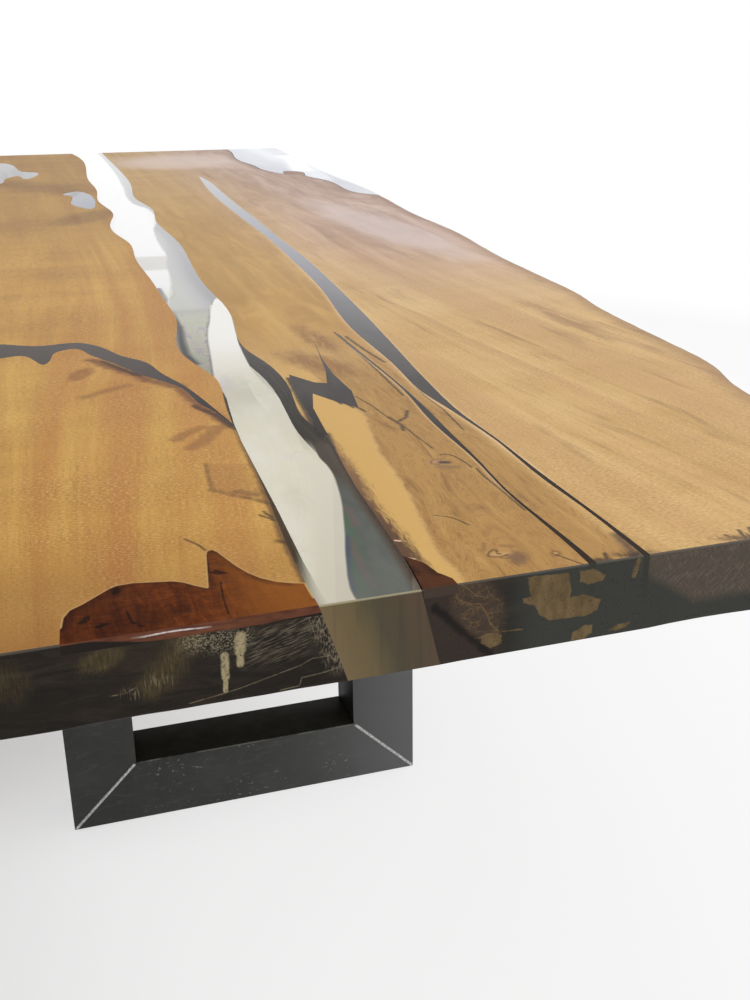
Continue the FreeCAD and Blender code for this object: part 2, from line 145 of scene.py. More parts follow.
class Paint:
    """The nodes of one material, or of the world: each method adds nodes and gives back their output.

    colour is the surface's colour with the marks so far, and marks are drawn on a plane, xy or xz.
    """

    def __init__(self, name, plane="xy", owner=None, place="Object"):
        self.owner = owner or bpy.data.materials.new(name)
        self.owner.use_nodes = True
        self.tree = self.owner.node_tree
        self.tree.nodes.clear()
        self.noises = {}
        self.colour = None
        self.place = self.add("TexCoord").outputs[place]
        axes = self.add("SeparateXYZ", {0: self.place}).outputs
        self.x, self.y, self.z = (Value(self, axis) for axis in axes)
        self.draw_on(plane)

    def draw_on(self, plane):
        """Choose the plane that marks are drawn on: xy from above, or xz on the front end."""
        self.spot = self.add("CombineXYZ", {0: self.x, 1: self.y if plane == "xy" else self.z}).outputs[0]

    def add(self, kind, inputs=None, **settings):
        node = self.tree.nodes.new(f"ShaderNode{kind}")
        for name, value in settings.items():
            setattr(node, name, value)
        for key, value in (inputs or {}).items():
            value = value.socket if isinstance(value, Value) else value
            if isinstance(value, bpy.types.NodeSocket):
                self.tree.links.new(value, node.inputs[key])
            else:
                node.inputs[key].default_value = rgba(value) if isinstance(value, str) else value
        return node

    def number(self, kind, inputs=None, output=0, **settings):
        return Value(self, self.add(kind, inputs, **settings).outputs[output])

    def math(self, operation, *values):
        return self.number("Math", dict(enumerate(values)), operation=operation)

    def vector(self, operation, first, second):
        return self.add("VectorMath", {0: first, 1: second}, operation=operation).outputs[0]

    def measure(self, operation, first, second):
        return self.number("VectorMath", {0: first, 1: second}, "Value", operation=operation)

    def mix(self, share, first, second):
        return self.add("Mix", {0: share, 6: first, 7: second}, data_type="RGBA").outputs[2]

    def noise(self, scale, detail=3, rough=0.5, warp=0.0, place=None):
        """Even noise where scale is one number, or stretched noise where it is three."""
        key = (scale, detail, rough, warp, place)
        if key not in self.noises:
            place = place or self.place
            if not isinstance(scale, (int, float)):
                place, scale = self.vector("MULTIPLY", place, scale), 1.0
            inputs = {"Vector": place, "Scale": scale, "Detail": detail, "Roughness": rough,
                      "Distortion": warp}
            self.noises[key] = self.number("TexNoise", inputs)
        return self.noises[key]

    def cell_edges(self, scale, wobble):
        """Distance to the edges of cells with wobbly sides."""
        place = self.vector("MULTIPLY", self.place, scale)
        turns = self.add("TexNoise", {"Vector": place, "Scale": 2.0, "Detail": 3}).outputs[1]
        place = self.vector("ADD", self.vector("MULTIPLY", turns, (wobble,) * 3), place)
        inputs = {"Vector": place, "Scale": 1}
        return self.number("TexVoronoi", inputs, "Distance", feature="DISTANCE_TO_EDGE")

    def along(self, points, place=None):
        """A value that changes along the table, or another axis: points are (y, value), front to far."""
        places, values = np.array(points, dtype=float).T.tolist()
        low, high = min(values), max(values)
        inputs = {"Value": place or self.y, "From Min": places[0], "From Max": places[-1]}
        node = self.add("FloatCurve", {"Value": self.number("MapRange", inputs)})
        curve = node.mapping.curves[0]
        spots = [((y - places[0]) / (places[-1] - places[0]), (value - low) / (high - low))
                 for y, value in zip(places, values)]
        curve.points[0].location = spots[0]
        curve.points[1].location = spots[-1]
        for spot in spots[1:-1]:
            curve.points.new(*spot)
        node.mapping.update()
        return Value(self, node.outputs[0]).spread(low, high)

    def uneven(self, value, reach, scale):
        """The value, moved by up to reach either way."""
        return value + self.noise(scale, 4, 0.65).spread(-reach, reach) if reach else value

    def beside(self, points, ragged=0.0, scale=90):
        """Distance to the right of a line along the table: points are (x, y), front to far."""
        return self.uneven(self.x - self.along([(y, x) for x, y in points]), ragged, scale)

    def facing(self, axis):
        """How far a surface faces along X, Y or Z, from -1 to 1."""
        return self.number("SeparateXYZ", {0: self.add("NewGeometry").outputs["True Normal"]}, axis)

    def patch(self, centre, length, width, direction=90, ragged=0.35, scale=60, soft=0.5):
        """An elliptical patch with a ragged edge, whose long axis lies at direction, in degrees from +u."""
        from_centre = self.vector("SUBTRACT", self.spot, *on_plane([centre]))
        shares = []
        for turn, size in ((direction, length), (direction + 90, width)):
            axis = Vector((math.cos(math.radians(turn)), math.sin(math.radians(turn)), 0))
            shares.append(self.measure("DOT_PRODUCT", from_centre, axis * 2 / (size * MILLIMETRE)))
        run, off = shares
        reach = self.math("SQRT", run * run + off * off) + self.noise(scale, 4, 0.6).spread(-ragged, ragged)
        return reach.rise(1 + soft / 2, 1 - soft / 2)

    def stroke(self, points, width, ragged=0.0, scale=140, soft=0.8):
        """A line through points of the painted plane, with soft sides and an uneven width."""
        points = on_plane(points)
        reaches = []
        for start, end in zip(points, points[1:]):
            step = end - start
            from_start = self.vector("SUBTRACT", self.spot, start)
            share = self.measure("DOT_PRODUCT", from_start, step / step.length_squared)
            inputs = {0: step, "Scale": self.number("Clamp", {0: share})}
            nearest = self.add("VectorMath", inputs, operation="SCALE").outputs[0]
            reaches.append(self.measure("DISTANCE", from_start, nearest))
        half = width * MILLIMETRE / 2
        reach = self.uneven(least(reaches), ragged * MILLIMETRE, scale)
        return reach.rise(half * (1 + soft), half * (1 - soft))

    def strokes(self, *rows):
        """Wherever one of some lines lies: each row holds what stroke takes."""
        return most(*(self.stroke(*row) for row in rows))

    def area(self, corners, ragged=0.0, scale=260, soft=0.6):
        """A convex area with straight sides: its corners run anticlockwise."""
        corners = on_plane(corners)
        reaches = []
        for start, end in zip(corners, corners[1:] + corners[:1]):
            inwards = Vector((start.y - end.y, end.x - start.x, 0)).normalized()
            reaches.append(self.measure("DOT_PRODUCT", self.spot, inwards) - inwards.dot(start))
        inside = self.uneven(least(reaches), ragged * MILLIMETRE, scale)
        return inside.rise(-soft * MILLIMETRE, soft * MILLIMETRE)

    def mark(self, shade, strength, *masks):
        """Lay a shade of that strength over the colour, wherever one of the masks lies."""
        self.colour = self.mix(most(*masks) * strength, self.colour, shade)

    def bump(self, height, distance, strength):
        return self.add("Bump", {"Height": height, "Distance": distance, "Strength": strength}).outputs[0]

    def principled(self, **inputs):
        named = {name.replace("_", " "): value for name, value in inputs.items()}
        return self.add("BsdfPrincipled", named).outputs[0]

    def blend(self, share, first, second):
        return self.add("MixShader", {0: share, 1: first, 2: second}).outputs[0]

    def finish(self, shader):
        self.add("OutputMaterial", {"Surface": shader})
        return self.owner

    def surface(self, **inputs):
        """The finished material, with the colour as it was marked."""
        return self.finish(self.principled(Base_Color=self.colour, **inputs))


def dress(node, material):
    """Give a CAD node's own mesh a material."""
    slots = NODES[node].data.materials
    slots.clear()
    slots.append(material)


def placed(name, data):
    """A new object in the scene."""
    made = bpy.data.objects.new(name, data)
    bpy.context.scene.collection.objects.link(made)
    return made


# Stage, lights and camera
def camera():
    data = bpy.data.cameras.new("camera")
    data.sensor_width = 36.0
    long_side = max(PHOTO_SIZE)
    data.lens = FOCAL_PIXELS * data.sensor_width / long_side
    data.shift_x = (PHOTO_SIZE[0] / 2 - PRINCIPAL_POINT[0]) / long_side
    data.shift_y = (PRINCIPAL_POINT[1] - PHOTO_SIZE[1] / 2) / long_side
    data.clip_end = 200.0
    made = placed("camera", data)
    made.location = CAMERA_PLACE
    made.rotation_euler = (math.radians(90 - CAMERA_PITCH), 0, math.radians(-CAMERA_YAW))
    bpy.context.scene.camera = made


def softbox(name, place, target, width, height, radiance):
    """A soft rectangular lamp: radiance 1 looks white."""
    data = bpy.data.lights.new(name, "AREA")
    data.shape = "RECTANGLE"
    data.size = width
    data.size_y = height
    data.energy = radiance * math.pi * width * height
    lamp = placed(name, data)
    lamp.location = place
    lamp.rotation_euler = (Vector(target) - Vector(place)).to_track_quat("-Z", "Y").to_euler()
    lamp.visible_camera = False


# Brightness of the surroundings in reflections, by the sine of the height above the horizon
REFLECTED_LEVELS = [(0.0, 1.25), (0.08, 1.10), (0.136, 0.88), (0.172, 0.60), (0.21, 0.38), (0.25, 0.24),
                    (0.32, 0.13), (0.45, 0.06)]
WHITE_TO_RIGHT = 0.2
STUDIO_LIGHT = (0.80, 0.80, 0.81, 1)
WHITE = "ffffff"


def world():
    """White for the camera, a soft light for all else, and in reflections white low down and dark above."""
    studio = bpy.data.worlds.new("studio")
    bpy.context.scene.world = studio
    paint = Paint("studio", owner=studio, place="Generated")
    path = paint.add("LightPath").outputs
    levels = (paint.x * -WHITE_TO_RIGHT + paint.z).ramp(*REFLECTED_LEVELS)
    light, reflected, white = (paint.add("Background", {"Color": colour}).outputs[0]
                               for colour in (STUDIO_LIGHT, levels, WHITE))
    unseen = paint.blend(path["Is Glossy Ray"], light, reflected)
    seen = paint.math("MAXIMUM", path["Is Camera Ray"], path["Is Transmission Ray"])
    paint.add("OutputWorld", {0: paint.blend(seen, unseen, white)})


def floor():
    """A pale floor that fades into the white backdrop away from the table, with a painted glow that lightens
    the table's shadow.
    """
    paint = Paint("floor_paint")
    x, y = paint.x, paint.y
    distance = paint.math("SQRT", x * x + y * y)
    # Painted light: the glow that lightens the table's shadow is stronger to the right and nearer the front
    # end.
    glow_to_right = x.rise(-0.9, 0.5).spread(0.10, 0.74)
    glow_nearer = y.rise(-0.66, -1.10) * x.rise(0.5, -0.3)
    fade = most(glow_to_right + glow_nearer * 0.32, distance.rise(1.8, 3.6))
    colour = paint.mix(paint.noise(40, 4, 0.6), "f1f1f2", "f4f4f4")
    matt = paint.principled(Base_Color=colour, Roughness=0.85)
    path = paint.add("LightPath").outputs
    through = Value(paint, path["Is Transmission Ray"])
    seen = most(through, path["Is Camera Ray"], path["Is Glossy Ray"])
    white = paint.add("Emission", {"Color": WHITE, "Strength": 1.0}).outputs[0]
    # Painted light: where the floor is seen through the resin it glows almost fully white.
    shader = paint.blend(most(fade * seen, through * 0.97), matt, white)
    mesh = bpy.data.meshes.new("floor")
    reach = 30.0
    mesh.from_pydata([(-reach, -reach, 0), (reach, -reach, 0), (reach, reach, 0), (-reach, reach, 0)], [],
                     [(0, 1, 2, 3)])
    mesh.materials.append(paint.finish(shader))
    plane = placed("floor", mesh)


camera()
world()
floor()
softbox("overhead_softbox", (2.0, -1.0, 3.4), (0.2, 0.0, 0.75), 3.6, 3.4, 1.2)

WELD_GRID = 1e-5
BEYOND_CRACKS = 0.4
CRACK_ROWS = 24
CRACK_INSET = 0.002


# Outlines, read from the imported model
def rims(node, height):
    """The closed outlines, as arrays of (x, y), of a CAD node's flat face at one height: largest first."""
    mesh = NODES[node].data
    points = np.array([vertex.co for vertex in mesh.vertices])
    keys = [tuple(key) for key in np.round(points[:, :2] / WELD_GRID).astype(int)]
    flat = np.abs(points[:, 2] - height) < WELD_GRID * 2
    edges = set()
    for polygon in mesh.polygons:
        corners = list(polygon.vertices)
        if flat[corners].all():
            edges.update((keys[a], keys[b]) for a, b in zip(corners, corners[1:] + corners[:1]))
    onwards = {}
    for a, b in sorted(edges):
        if (b, a) not in edges:
            onwards.setdefault(a, []).append(b)
    loops = []
    while onwards:
        key = next(iter(onwards))
        loop = []
        while key in onwards:
            loop.append(key)
            following = onwards[key].pop()
            if not onwards[key]:
                del onwards[key]
            key = following
        loops.append(np.array(loop) * WELD_GRID)
    return sorted(loops, key=lambda loop: -np.ptp(loop, axis=0).prod())


def front_to_far(loop, chosen):
    """The longest unbroken run of chosen points of a closed outline, from the front end to the far end."""
    runs = []
    first_gap = int(np.argmin(chosen))
    for i in range(len(loop)):
        here = (first_gap + i) % len(loop)
        if not chosen[here]:
            runs.append([])
        else:
            runs[-1].append(loop[here])
    run = max(runs, key=len)
    return np.array(run if run[0][1] < run[-1][1] else run[::-1])


def live_edge(node, height):
    """A slab's natural edge, from its front end to its far end."""
    loop = rims(node, height)[0]
    return front_to_far(loop, np.abs(loop[:, 0]) > BEYOND_CRACKS)


def river_edges(height):
    """Left and right edge of the river, from its front end to its far end."""
    loop = rims("river_resin", height)[0]
    by_y = loop[np.argsort(loop[:, 1])]
    front_middle, far_middle = by_y[:2].mean(0), by_y[-2:].mean(0)
    middle = np.interp(loop[:, 1], [front_middle[1], far_middle[1]], [front_middle[0], far_middle[0]])
    is_left = loop[:, 0] < middle
    return front_to_far(loop, is_left), front_to_far(loop, ~is_left)


def crack_side(node, side):
    """A crack's left side, 0, or right side, 1, from its front end to its far end."""
    loop = rims(node, TOP)[0]
    rows = np.linspace(loop[:, 1].min() + CRACK_INSET, loop[:, 1].max() - CRACK_INSET, CRACK_ROWS)
    made = []
    for y in rows:
        crossings = []
        for (ax, ay), (bx, by) in zip(loop, np.roll(loop, -1, axis=0)):
            if (ay - y) * (by - y) < 0:
                crossings.append(ax + (bx - ax) * (y - ay) / (by - ay))
        made.append((max(crossings) if side else min(crossings), y))
    return made


def distances(path):
    """How far along the path each of its points lies."""
    return np.concatenate([[0], np.cumsum(np.hypot(*np.diff(path, axis=0).T))])


def resampled(path, count):
    """The path with count points at equal steps."""
    reach = distances(path)
    places = np.linspace(0, reach[-1], count)
    return np.stack([np.interp(places, reach, path[:, 0]), np.interp(places, reach, path[:, 1])], axis=1)


# Meshes
POINT_SPACING = 0.006
LIVE_ARRIS = 0.0022
SAWN_ARRIS = 0.0007
WALL_ROUGHNESS = 0.0012
RESIN_OVERLAP = 0.002
END_TAPER = 0.02
CUTTER_REACH = 0.01
ON_FRONT = 2e-4
LEVEL = 0.9999


class Wall:
    """One side of a slab, between a top path and a bottom path of as many points.

    shape gives how far a point stands outwards, from its place and its depth share from 0 to 1.
    """

    def __init__(self, top, bottom, material, shape):
        count = max(2, int(distances(top)[-1] / POINT_SPACING))
        self.top = resampled(top, count)
        self.bottom = resampled(bottom, count)
        self.material = material
        self.shape = shape

    def reversed(self):
        self.top = self.top[::-1]
        self.bottom = self.bottom[::-1]
        return self

    def rows(self, depths):
        """Points (x, y, z) for each depth, with no offset at the two ends."""
        along = distances(self.top)
        taper = np.clip(np.minimum(along, along[-1] - along) / END_TAPER, 0, 1)
        tangent = np.gradient(self.top, axis=0)
        tangent /= np.hypot(*tangent.T)[:, None]
        outward = np.stack([tangent[:, 1], -tangent[:, 0]], axis=1)
        made = []
        for depth in depths:
            flat = self.top * (1 - depth) + self.bottom * depth
            z = TOP - depth * THICKNESS
            offset = np.array([self.shape(Vector((*p, z)), depth) for p in flat]) * taper
            made.append(np.column_stack([flat + outward * offset[:, None], np.full(len(flat), z)]))
        return made


def rounded(depth, radius):
    """How far an edge of that radius lies behind the wall, at a depth share."""
    from_edge = min(depth, 1 - depth) * THICKNESS
    if from_edge >= radius:
        return 0.0
    return radius - math.sqrt(radius ** 2 - (radius - from_edge) ** 2)


def live_shape(place, depth):
    """A barkless natural edge: hollows and swellings that run along it, with a rounded top edge."""
    swell = noise.fractal(place * 5.0, 1.0, 2.0, 3) * 0.006
    lumps = noise.fractal(Vector((place.x * 22, place.y * 16, place.z * 40)), 0.8, 2.0, 4) * 0.0026
    belly = math.sin(math.pi * depth) * (0.004 + swell)
    return belly + lumps * (0.35 + 0.65 * math.sin(math.pi * depth)) - rounded(depth, LIVE_ARRIS)


def sawn_shape(place, depth):
    """A sawn and sanded end, whose lower edge is worn unevenly."""
    wear = max(0.0, noise.fractal(Vector((place.x * 9, 0.3, 0.7)), 1.0, 2.0, 3)) * 0.004
    lower = SAWN_ARRIS + (wear if depth > 0.5 else 0.0)
    return -rounded(depth, lower)


def run_in(depth, share):
    """0 at the top and bottom edge of a wall, and 1 from that share of the depth inwards."""
    return min(1.0, depth / share, (1 - depth) / share)


def river_shape(place, depth):
    """The rough wall under the resin, always behind the drawn edge."""
    lumps = noise.fractal(Vector((place.x * 60, place.y * 18, place.z * 60)), 0.9, 2.0, 4)
    return -run_in(depth, 0.125) * WALL_ROUGHNESS * (0.5 + 0.5 * max(-1.0, min(1.0, lumps)))


# Depth shares of a wall's rows, closest together at its rounded edges
DEPTHS = [0.0, 0.004, 0.012, 0.025, 0.045, 0.08, 0.14, 0.22, 0.32, 0.43, 0.54, 0.65, 0.75, 0.84, 0.91, 0.95,
          0.975, 0.988, 0.996, 1.0]


def made_mesh(name, bm, *materials):
    """A mesh of what was built, with its materials."""
    mesh = bpy.data.meshes.new(name)
    bm.to_mesh(mesh)
    bm.free()
    for material in materials:
        mesh.materials.append(material)
    return mesh


def ring_mesh(name, walls, materials):
    """A closed slab from walls that follow one another round its outline, anticlockwise seen from above."""
    bm = bmesh.new()
    columns = []
    for wall in walls:
        rows = wall.rows(DEPTHS)
        for i in range(len(wall.top) - 1):
            columns.append(([bm.verts.new(row[i]) for row in rows], wall.material))
    tops, bottoms = [], []
    for (here, material), (there, _) in zip(columns, columns[1:] + columns[:1]):
        for upper_a, upper_b, lower_a, lower_b in zip(here, there, here[1:], there[1:]):
            bm.faces.new((upper_a, lower_a, lower_b, upper_b)).material_index = material
        tops.append(bm.edges.get((here[0], there[0])))
        bottoms.append(bm.edges.get((here[-1], there[-1])))
    for edges, up in ((tops, 1), (bottoms, -1)):
        filled = bmesh.ops.triangle_fill(bm, use_beauty=True, edges=edges, normal=(0, 0, up))
        for face in filled["geom"]:
            if isinstance(face, bmesh.types.BMFace):
                face.material_index = 0
    bmesh.ops.recalc_face_normals(bm, faces=bm.faces)
    return made_mesh(name, bm, *materials)


def piece(name, mesh, slot, *nodes):
    """An object of the table that stands for CAD nodes and rides on its one body."""
    made = placed(name, mesh)
    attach(made, "root")
    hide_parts(*nodes)
    return made


def smooth(mesh, angle):
    """Shade a mesh smooth, except at edges that turn by more than the angle, in degrees."""
    mesh.shade_smooth()
    mesh.set_sharp_from_angle(angle=math.radians(angle))


def front_y(x):
    """The front end's y at x: the end is a little out of square."""
    return np.interp(x, *zip(FRONT_LEFT, FRONT_RIGHT))


def pocket_cutter(node):
    """A copy of a resin fill that reaches out of the wood above and in front, to cut its pocket with."""
    bm = bmesh.new()
    bm.from_mesh(NODES[node].data)
    bmesh.ops.remove_doubles(bm, verts=bm.verts, dist=WELD_GRID)
    for vertex in bm.verts:
        if vertex.co.z > TOP - WELD_GRID * 2:
            vertex.co.z += CUTTER_REACH
        if abs(vertex.co.y - front_y(vertex.co.x)) < ON_FRONT:
            vertex.co.y -= CUTTER_REACH
    return placed(f"{node}_cutter", made_mesh(f"{node}_cutter", bm))


def cut_pockets(slab, nodes):
    """Cut the pockets for these resin fills into a slab."""
    tools = [pocket_cutter(node) for node in nodes]
    for tool in tools:
        modifier = slab.modifiers.new(tool.name, "BOOLEAN")
        modifier.operation = "DIFFERENCE"
        modifier.solver = "EXACT"
        modifier.object = tool
    graph = bpy.context.evaluated_depsgraph_get()
    cut = bpy.data.meshes.new_from_object(slab.evaluated_get(graph))
    slab.modifiers.clear()
    slab.data = cut
    for tool in tools:
        bpy.data.objects.remove(tool)


# Each side's top path and bottom path, from the front end to the far end
RIVER_LEFT, RIVER_RIGHT = zip(river_edges(TOP), river_edges(UNDERSIDE))
LEFT_EDGE = [live_edge("left_slab", height) for height in (TOP, UNDERSIDE)]
RIGHT_EDGE = [live_edge("right_slab", height) for height in (TOP, UNDERSIDE)]
FRONT_LEFT = LEFT_EDGE[0][0]
FRONT_RIGHT = RIGHT_EDGE[0][0]

# Material indices of the slabs and of the river
END_GRAIN, LIVE, RIVER_WALL = 1, 2, 3
RESIN, RESIN_END = 0, 1


def resin_shape(place, depth):
    """The resin wets the wood, so below the top it reaches a little into it."""
    return RESIN_OVERLAP * run_in(depth, 0.025)


def flush_shape(place, depth):
    return 0.0


def walls_round(left, right, ends):
    """Front end, right side, far end and left side of a slab.

    left and right hold a top path, a bottom path, a material index and a shape. ends holds the last two.
    """
    front = [np.array([left[i][0], right[i][0]]) for i in (0, 1)]
    far = [np.array([right[i][-1], left[i][-1]]) for i in (0, 1)]
    return [Wall(*front, *ends), Wall(*right), Wall(*far, *ends), Wall(*left).reversed()]


# Materials
SMUDGE = "8f5a27"
RED_BROWN = "6d3617"
DARK_BROWN = "2b1a0f"
FRINGE = "4a2c17"
FAN_ORIGIN = 1.5
RIVER_POINTS = 40


def fanned(paint, turn, start, low, high):
    """Places along the grain: its lines lean by turn times x plus start, within low and high."""
    lean = paint.number("Clamp", {0: paint.x * turn + start, 1: low, 2: high})
    reach = paint.math("SMOOTH_MIN", paint.y + FAN_ORIGIN, 0.7, 0.6)
    across = paint.x - lean * reach
    return paint.add("CombineXYZ", {0: across, 1: paint.y, 2: paint.z}).outputs[0]


def wood(name, fan, tones, features):
    """Satin wood: broad bands, streaks, fine fibres and silky flecks along a fanned grain, with painted shade
    underneath.
    """
    paint = Paint(name)
    grain = fanned(paint, *fan)
    figure = paint.noise((2.5, 11, 8), 3, 0.55, 0.6)
    bands = paint.noise((24, 0.8, 24), 2, 0.5, 0.3, grain)
    redder = paint.noise((17, 0.6, 9), 2, 0.5, 0.3, grain)
    streaks = paint.noise((120, 2.6, 120), 4, 0.6, 0.2, grain)
    fibres = paint.noise((640, 18, 640), 3, 0.6, 0, grain)
    flecks = paint.noise((300, 460, 300), 2, 0.5, 0.4, grain)
    patchy = paint.noise(8, 3, 0.6, 0.5).spread(-0.4, 2)
    clouds = paint.noise((7, 3, 7), 3, 0.5, 0.5)
    tone = bands * 0.3 + streaks * 0.22 + clouds * 0.24 + figure * 0.24
    low, middle, high, red = tones
    paint.colour = tone.ramp((0.4, low), (0.5, middle), (0.6, high))
    nearby = paint.y.rise(0, -1).spread(0.25, 0.65)
    paint.mark(red, 1, nearby * redder.rise(0.48, 0.64))
    paint.mark("84571f", 0.3, fibres.rise(0.52, 0.74))
    paint.mark("efcb8a", 0.42, patchy * flecks.rise(0.53, 0.66))
    paint.mark("8a5a22", 0.36, patchy * flecks.rise(0.46, 0.34))
    features(paint, grain)
    # Painted shade: the underside is darkened, so that it shows dark in the steel below it.
    shaded_underneath = paint.facing(2).rise(-0.5, -0.9)
    paint.mark("4a3319", 0.8, shaded_underneath)
    roughness = paint.noise(60, 3, 0.6).spread(0.32, 0.44)
    relief = fibres * 0.5 + flecks * 0.5
    normal = paint.bump(relief, 0.0003, 0.25)
    return paint.surface(Roughness=roughness, Specular_IOR_Level=0.45, Normal=normal)


def left_features(paint, grain):
    """Marks of the left slab: smudges, the fringe of its crack, the darkened river edge, and darker wood far
    back and towards the front-left corner.
    """
    smudges = [
        paint.patch((-198, -1145), 60, 26, 65, 0.5, 45),
        paint.stroke([(-200, -1246), (-174, -1224), (-151, -1212)], 13, 3, soft=1),
        paint.stroke([(-127, -1428), (-113, -1411), (-97, -1397)], 14, 5, 90, 0.5),
        paint.stroke([(-114, -1459), (-98, -1435), (-82, -1405)], 17, 6, 90, 0.5)]
    broken = paint.noise((90, 40, 90), 4, 0.7).spread(0.2, 1.5)
    paint.mark(SMUDGE, 0.68, broken * most(*smudges))
    quad = paint.area([(-111, -1509), (-117, -1581), (-80, -1625), (-75, -1580), (-74, -1522)], 6, 90, 3)
    paint.mark(SMUDGE, 0.28, broken * quad)
    quad_edges = paint.strokes(
        ([(-117, -1581), (-103, -1598), (-89, -1612), (-77, -1628)], 6, 5, 120),
        ([(-97, -1593), (-85, -1603)], 12, 10, 150, 1),
        ([(-111, -1509), (-117, -1581)], 4, 2, 140, 1))
    paint.mark(FRINGE, 0.55, broken * quad_edges)
    fringe = paint.strokes(
        ([(-180, -1080), (-153, -1140), (-136, -1168), (-126, -1198), (-110, -1216), (-98, -1236)],
            17, 12, 90),
        ([(-96, -1250), (-90, -1300), (-80, -1340), (-68, -1402)], 12, 8, 110))
    paint.mark(RED_BROWN, 0.75, fringe)
    dark = paint.strokes(
        ([(-168, -1092), (-150, -1135), (-134, -1172)], 8, 6, 120),
        ([(-92, -1318), (-84, -1339), (-75, -1358), (-65, -1412)], 7, 6, 180),
        ([(-85, -1646), (-80, -1662)], 3, 3, 200),
        ([(-90, -1652), (-80, -1667)], 3, 3, 200),
        ([(-86, -1712), (-76, -1722)], 7, 4, 200),
        ([(-156, -1684), (-148, -1698), (-144, -1711)], 2.4, 0.6))
    paint.mark(DARK_BROWN, 0.75, dark)
    far_shade = [
        paint.stroke([(-250, 950), (-175, 860), (-100, 740)], 150, 50, 14, 1),
        paint.patch((-85, 225), 260, 100, 60, 0.5, 14, 1)]
    paint.mark("7d5426", 0.55, broken * most(*far_shade))
    paint.mark("8a6230", 0.16, paint.y.rise(-0.3, 0.2))
    # Darker and more orange towards the front-left corner.
    darkened = paint.along([(-1.84, 0.7), (-1.8, 0.55), (-1.75, 0.5), (-1.7, 0.28), (-1.64, 0.1),
            (-1.56, 0)])
    outer = paint.x.rise(-0.19, -0.26).spread(0.6, 1)
    paint.mark("87511f", 1, darkened * outer)
    edge = paint.beside(resampled(RIVER_LEFT[0], RIVER_POINTS), 0.003)
    near = paint.y.rise(-1.3, -1.5)
    paint.mark(FRINGE, 0.7, edge.rise(-0.006, -0.001) * near)


def knots(paint):
    """The right slab's knots: a lens with a dark eye, a drop with a smudge beside it, and a small ring."""
    paint.mark("be9274", 0.6, paint.stroke([(91, -1573), (98, -1574)], 10))
    paint.mark("7f6244", 0.6, paint.stroke([(94.5, -1587), (100.5, -1590), (107, -1593)], 8, soft=1))
    lens = paint.stroke([(100.2, -1568), (95.4, -1567), (91.9, -1568), (88.7, -1573), (88.4, -1577),
            (92.5, -1580), (96, -1580)], 2.2, 0.6)
    paint.mark("7a4a22", 0.7, lens)
    paint.mark("382a25", 0.9, paint.stroke([(99, -1576), (103.5, -1578)], 7.5, 1))
    drop = paint.strokes(
        ([(68, -1787), (68.7, -1783), (66.6, -1782), (62.5, -1785), (59.2, -1790), (59.5, -1793),
            (62.2, -1795), (65.6, -1796), (68.5, -1796), (74.2, -1794)], 2.2, 0.6),
        ([(66.7, -1798.3), (69.8, -1800), (72.5, -1800.3)], 1.6, 0.6))
    paint.mark("d0a56b", 0.6, paint.stroke([(63, -1789), (67.1, -1790.4), (76.7, -1792.5)], 6, soft=1))
    paint.mark("6a4520", 0.8, drop)
    paint.mark("4a2f18", 0.8, paint.stroke([(67.6, -1790), (69, -1790.7)], 2.6))
    paint.mark("66463a", 0.65, paint.patch((78.7, -1802.4), 24, 15, 67, 0.3, 90, 1))
    paint.mark("85552c", 0.5, paint.stroke([(76.6, -1776.6), (83, -1780)], 6, soft=1),
            paint.stroke([(64.5, -1768), (59.3, -1781)], 3.6, 1))
    paint.mark("7d4d20", 0.55, paint.patch((109.7, -1803.7), 12, 9, 70, 0.2, 90, 0.6))
    paint.mark("c9a06a", 0.7, paint.patch((110, -1803.5), 5, 3, 70, 0.2, 90, 0.8))


STRIP_BOUNDARY = [(0.024, -1.86), (0.026, -1.808), (0.025, -1.778), (0.029, -1.743), (0.040, -1.666),
                  (0.047, -1.609), (0.052, -1.538), (0.063, -1.460), (0.072, -1.400), (0.060, -1.330)]


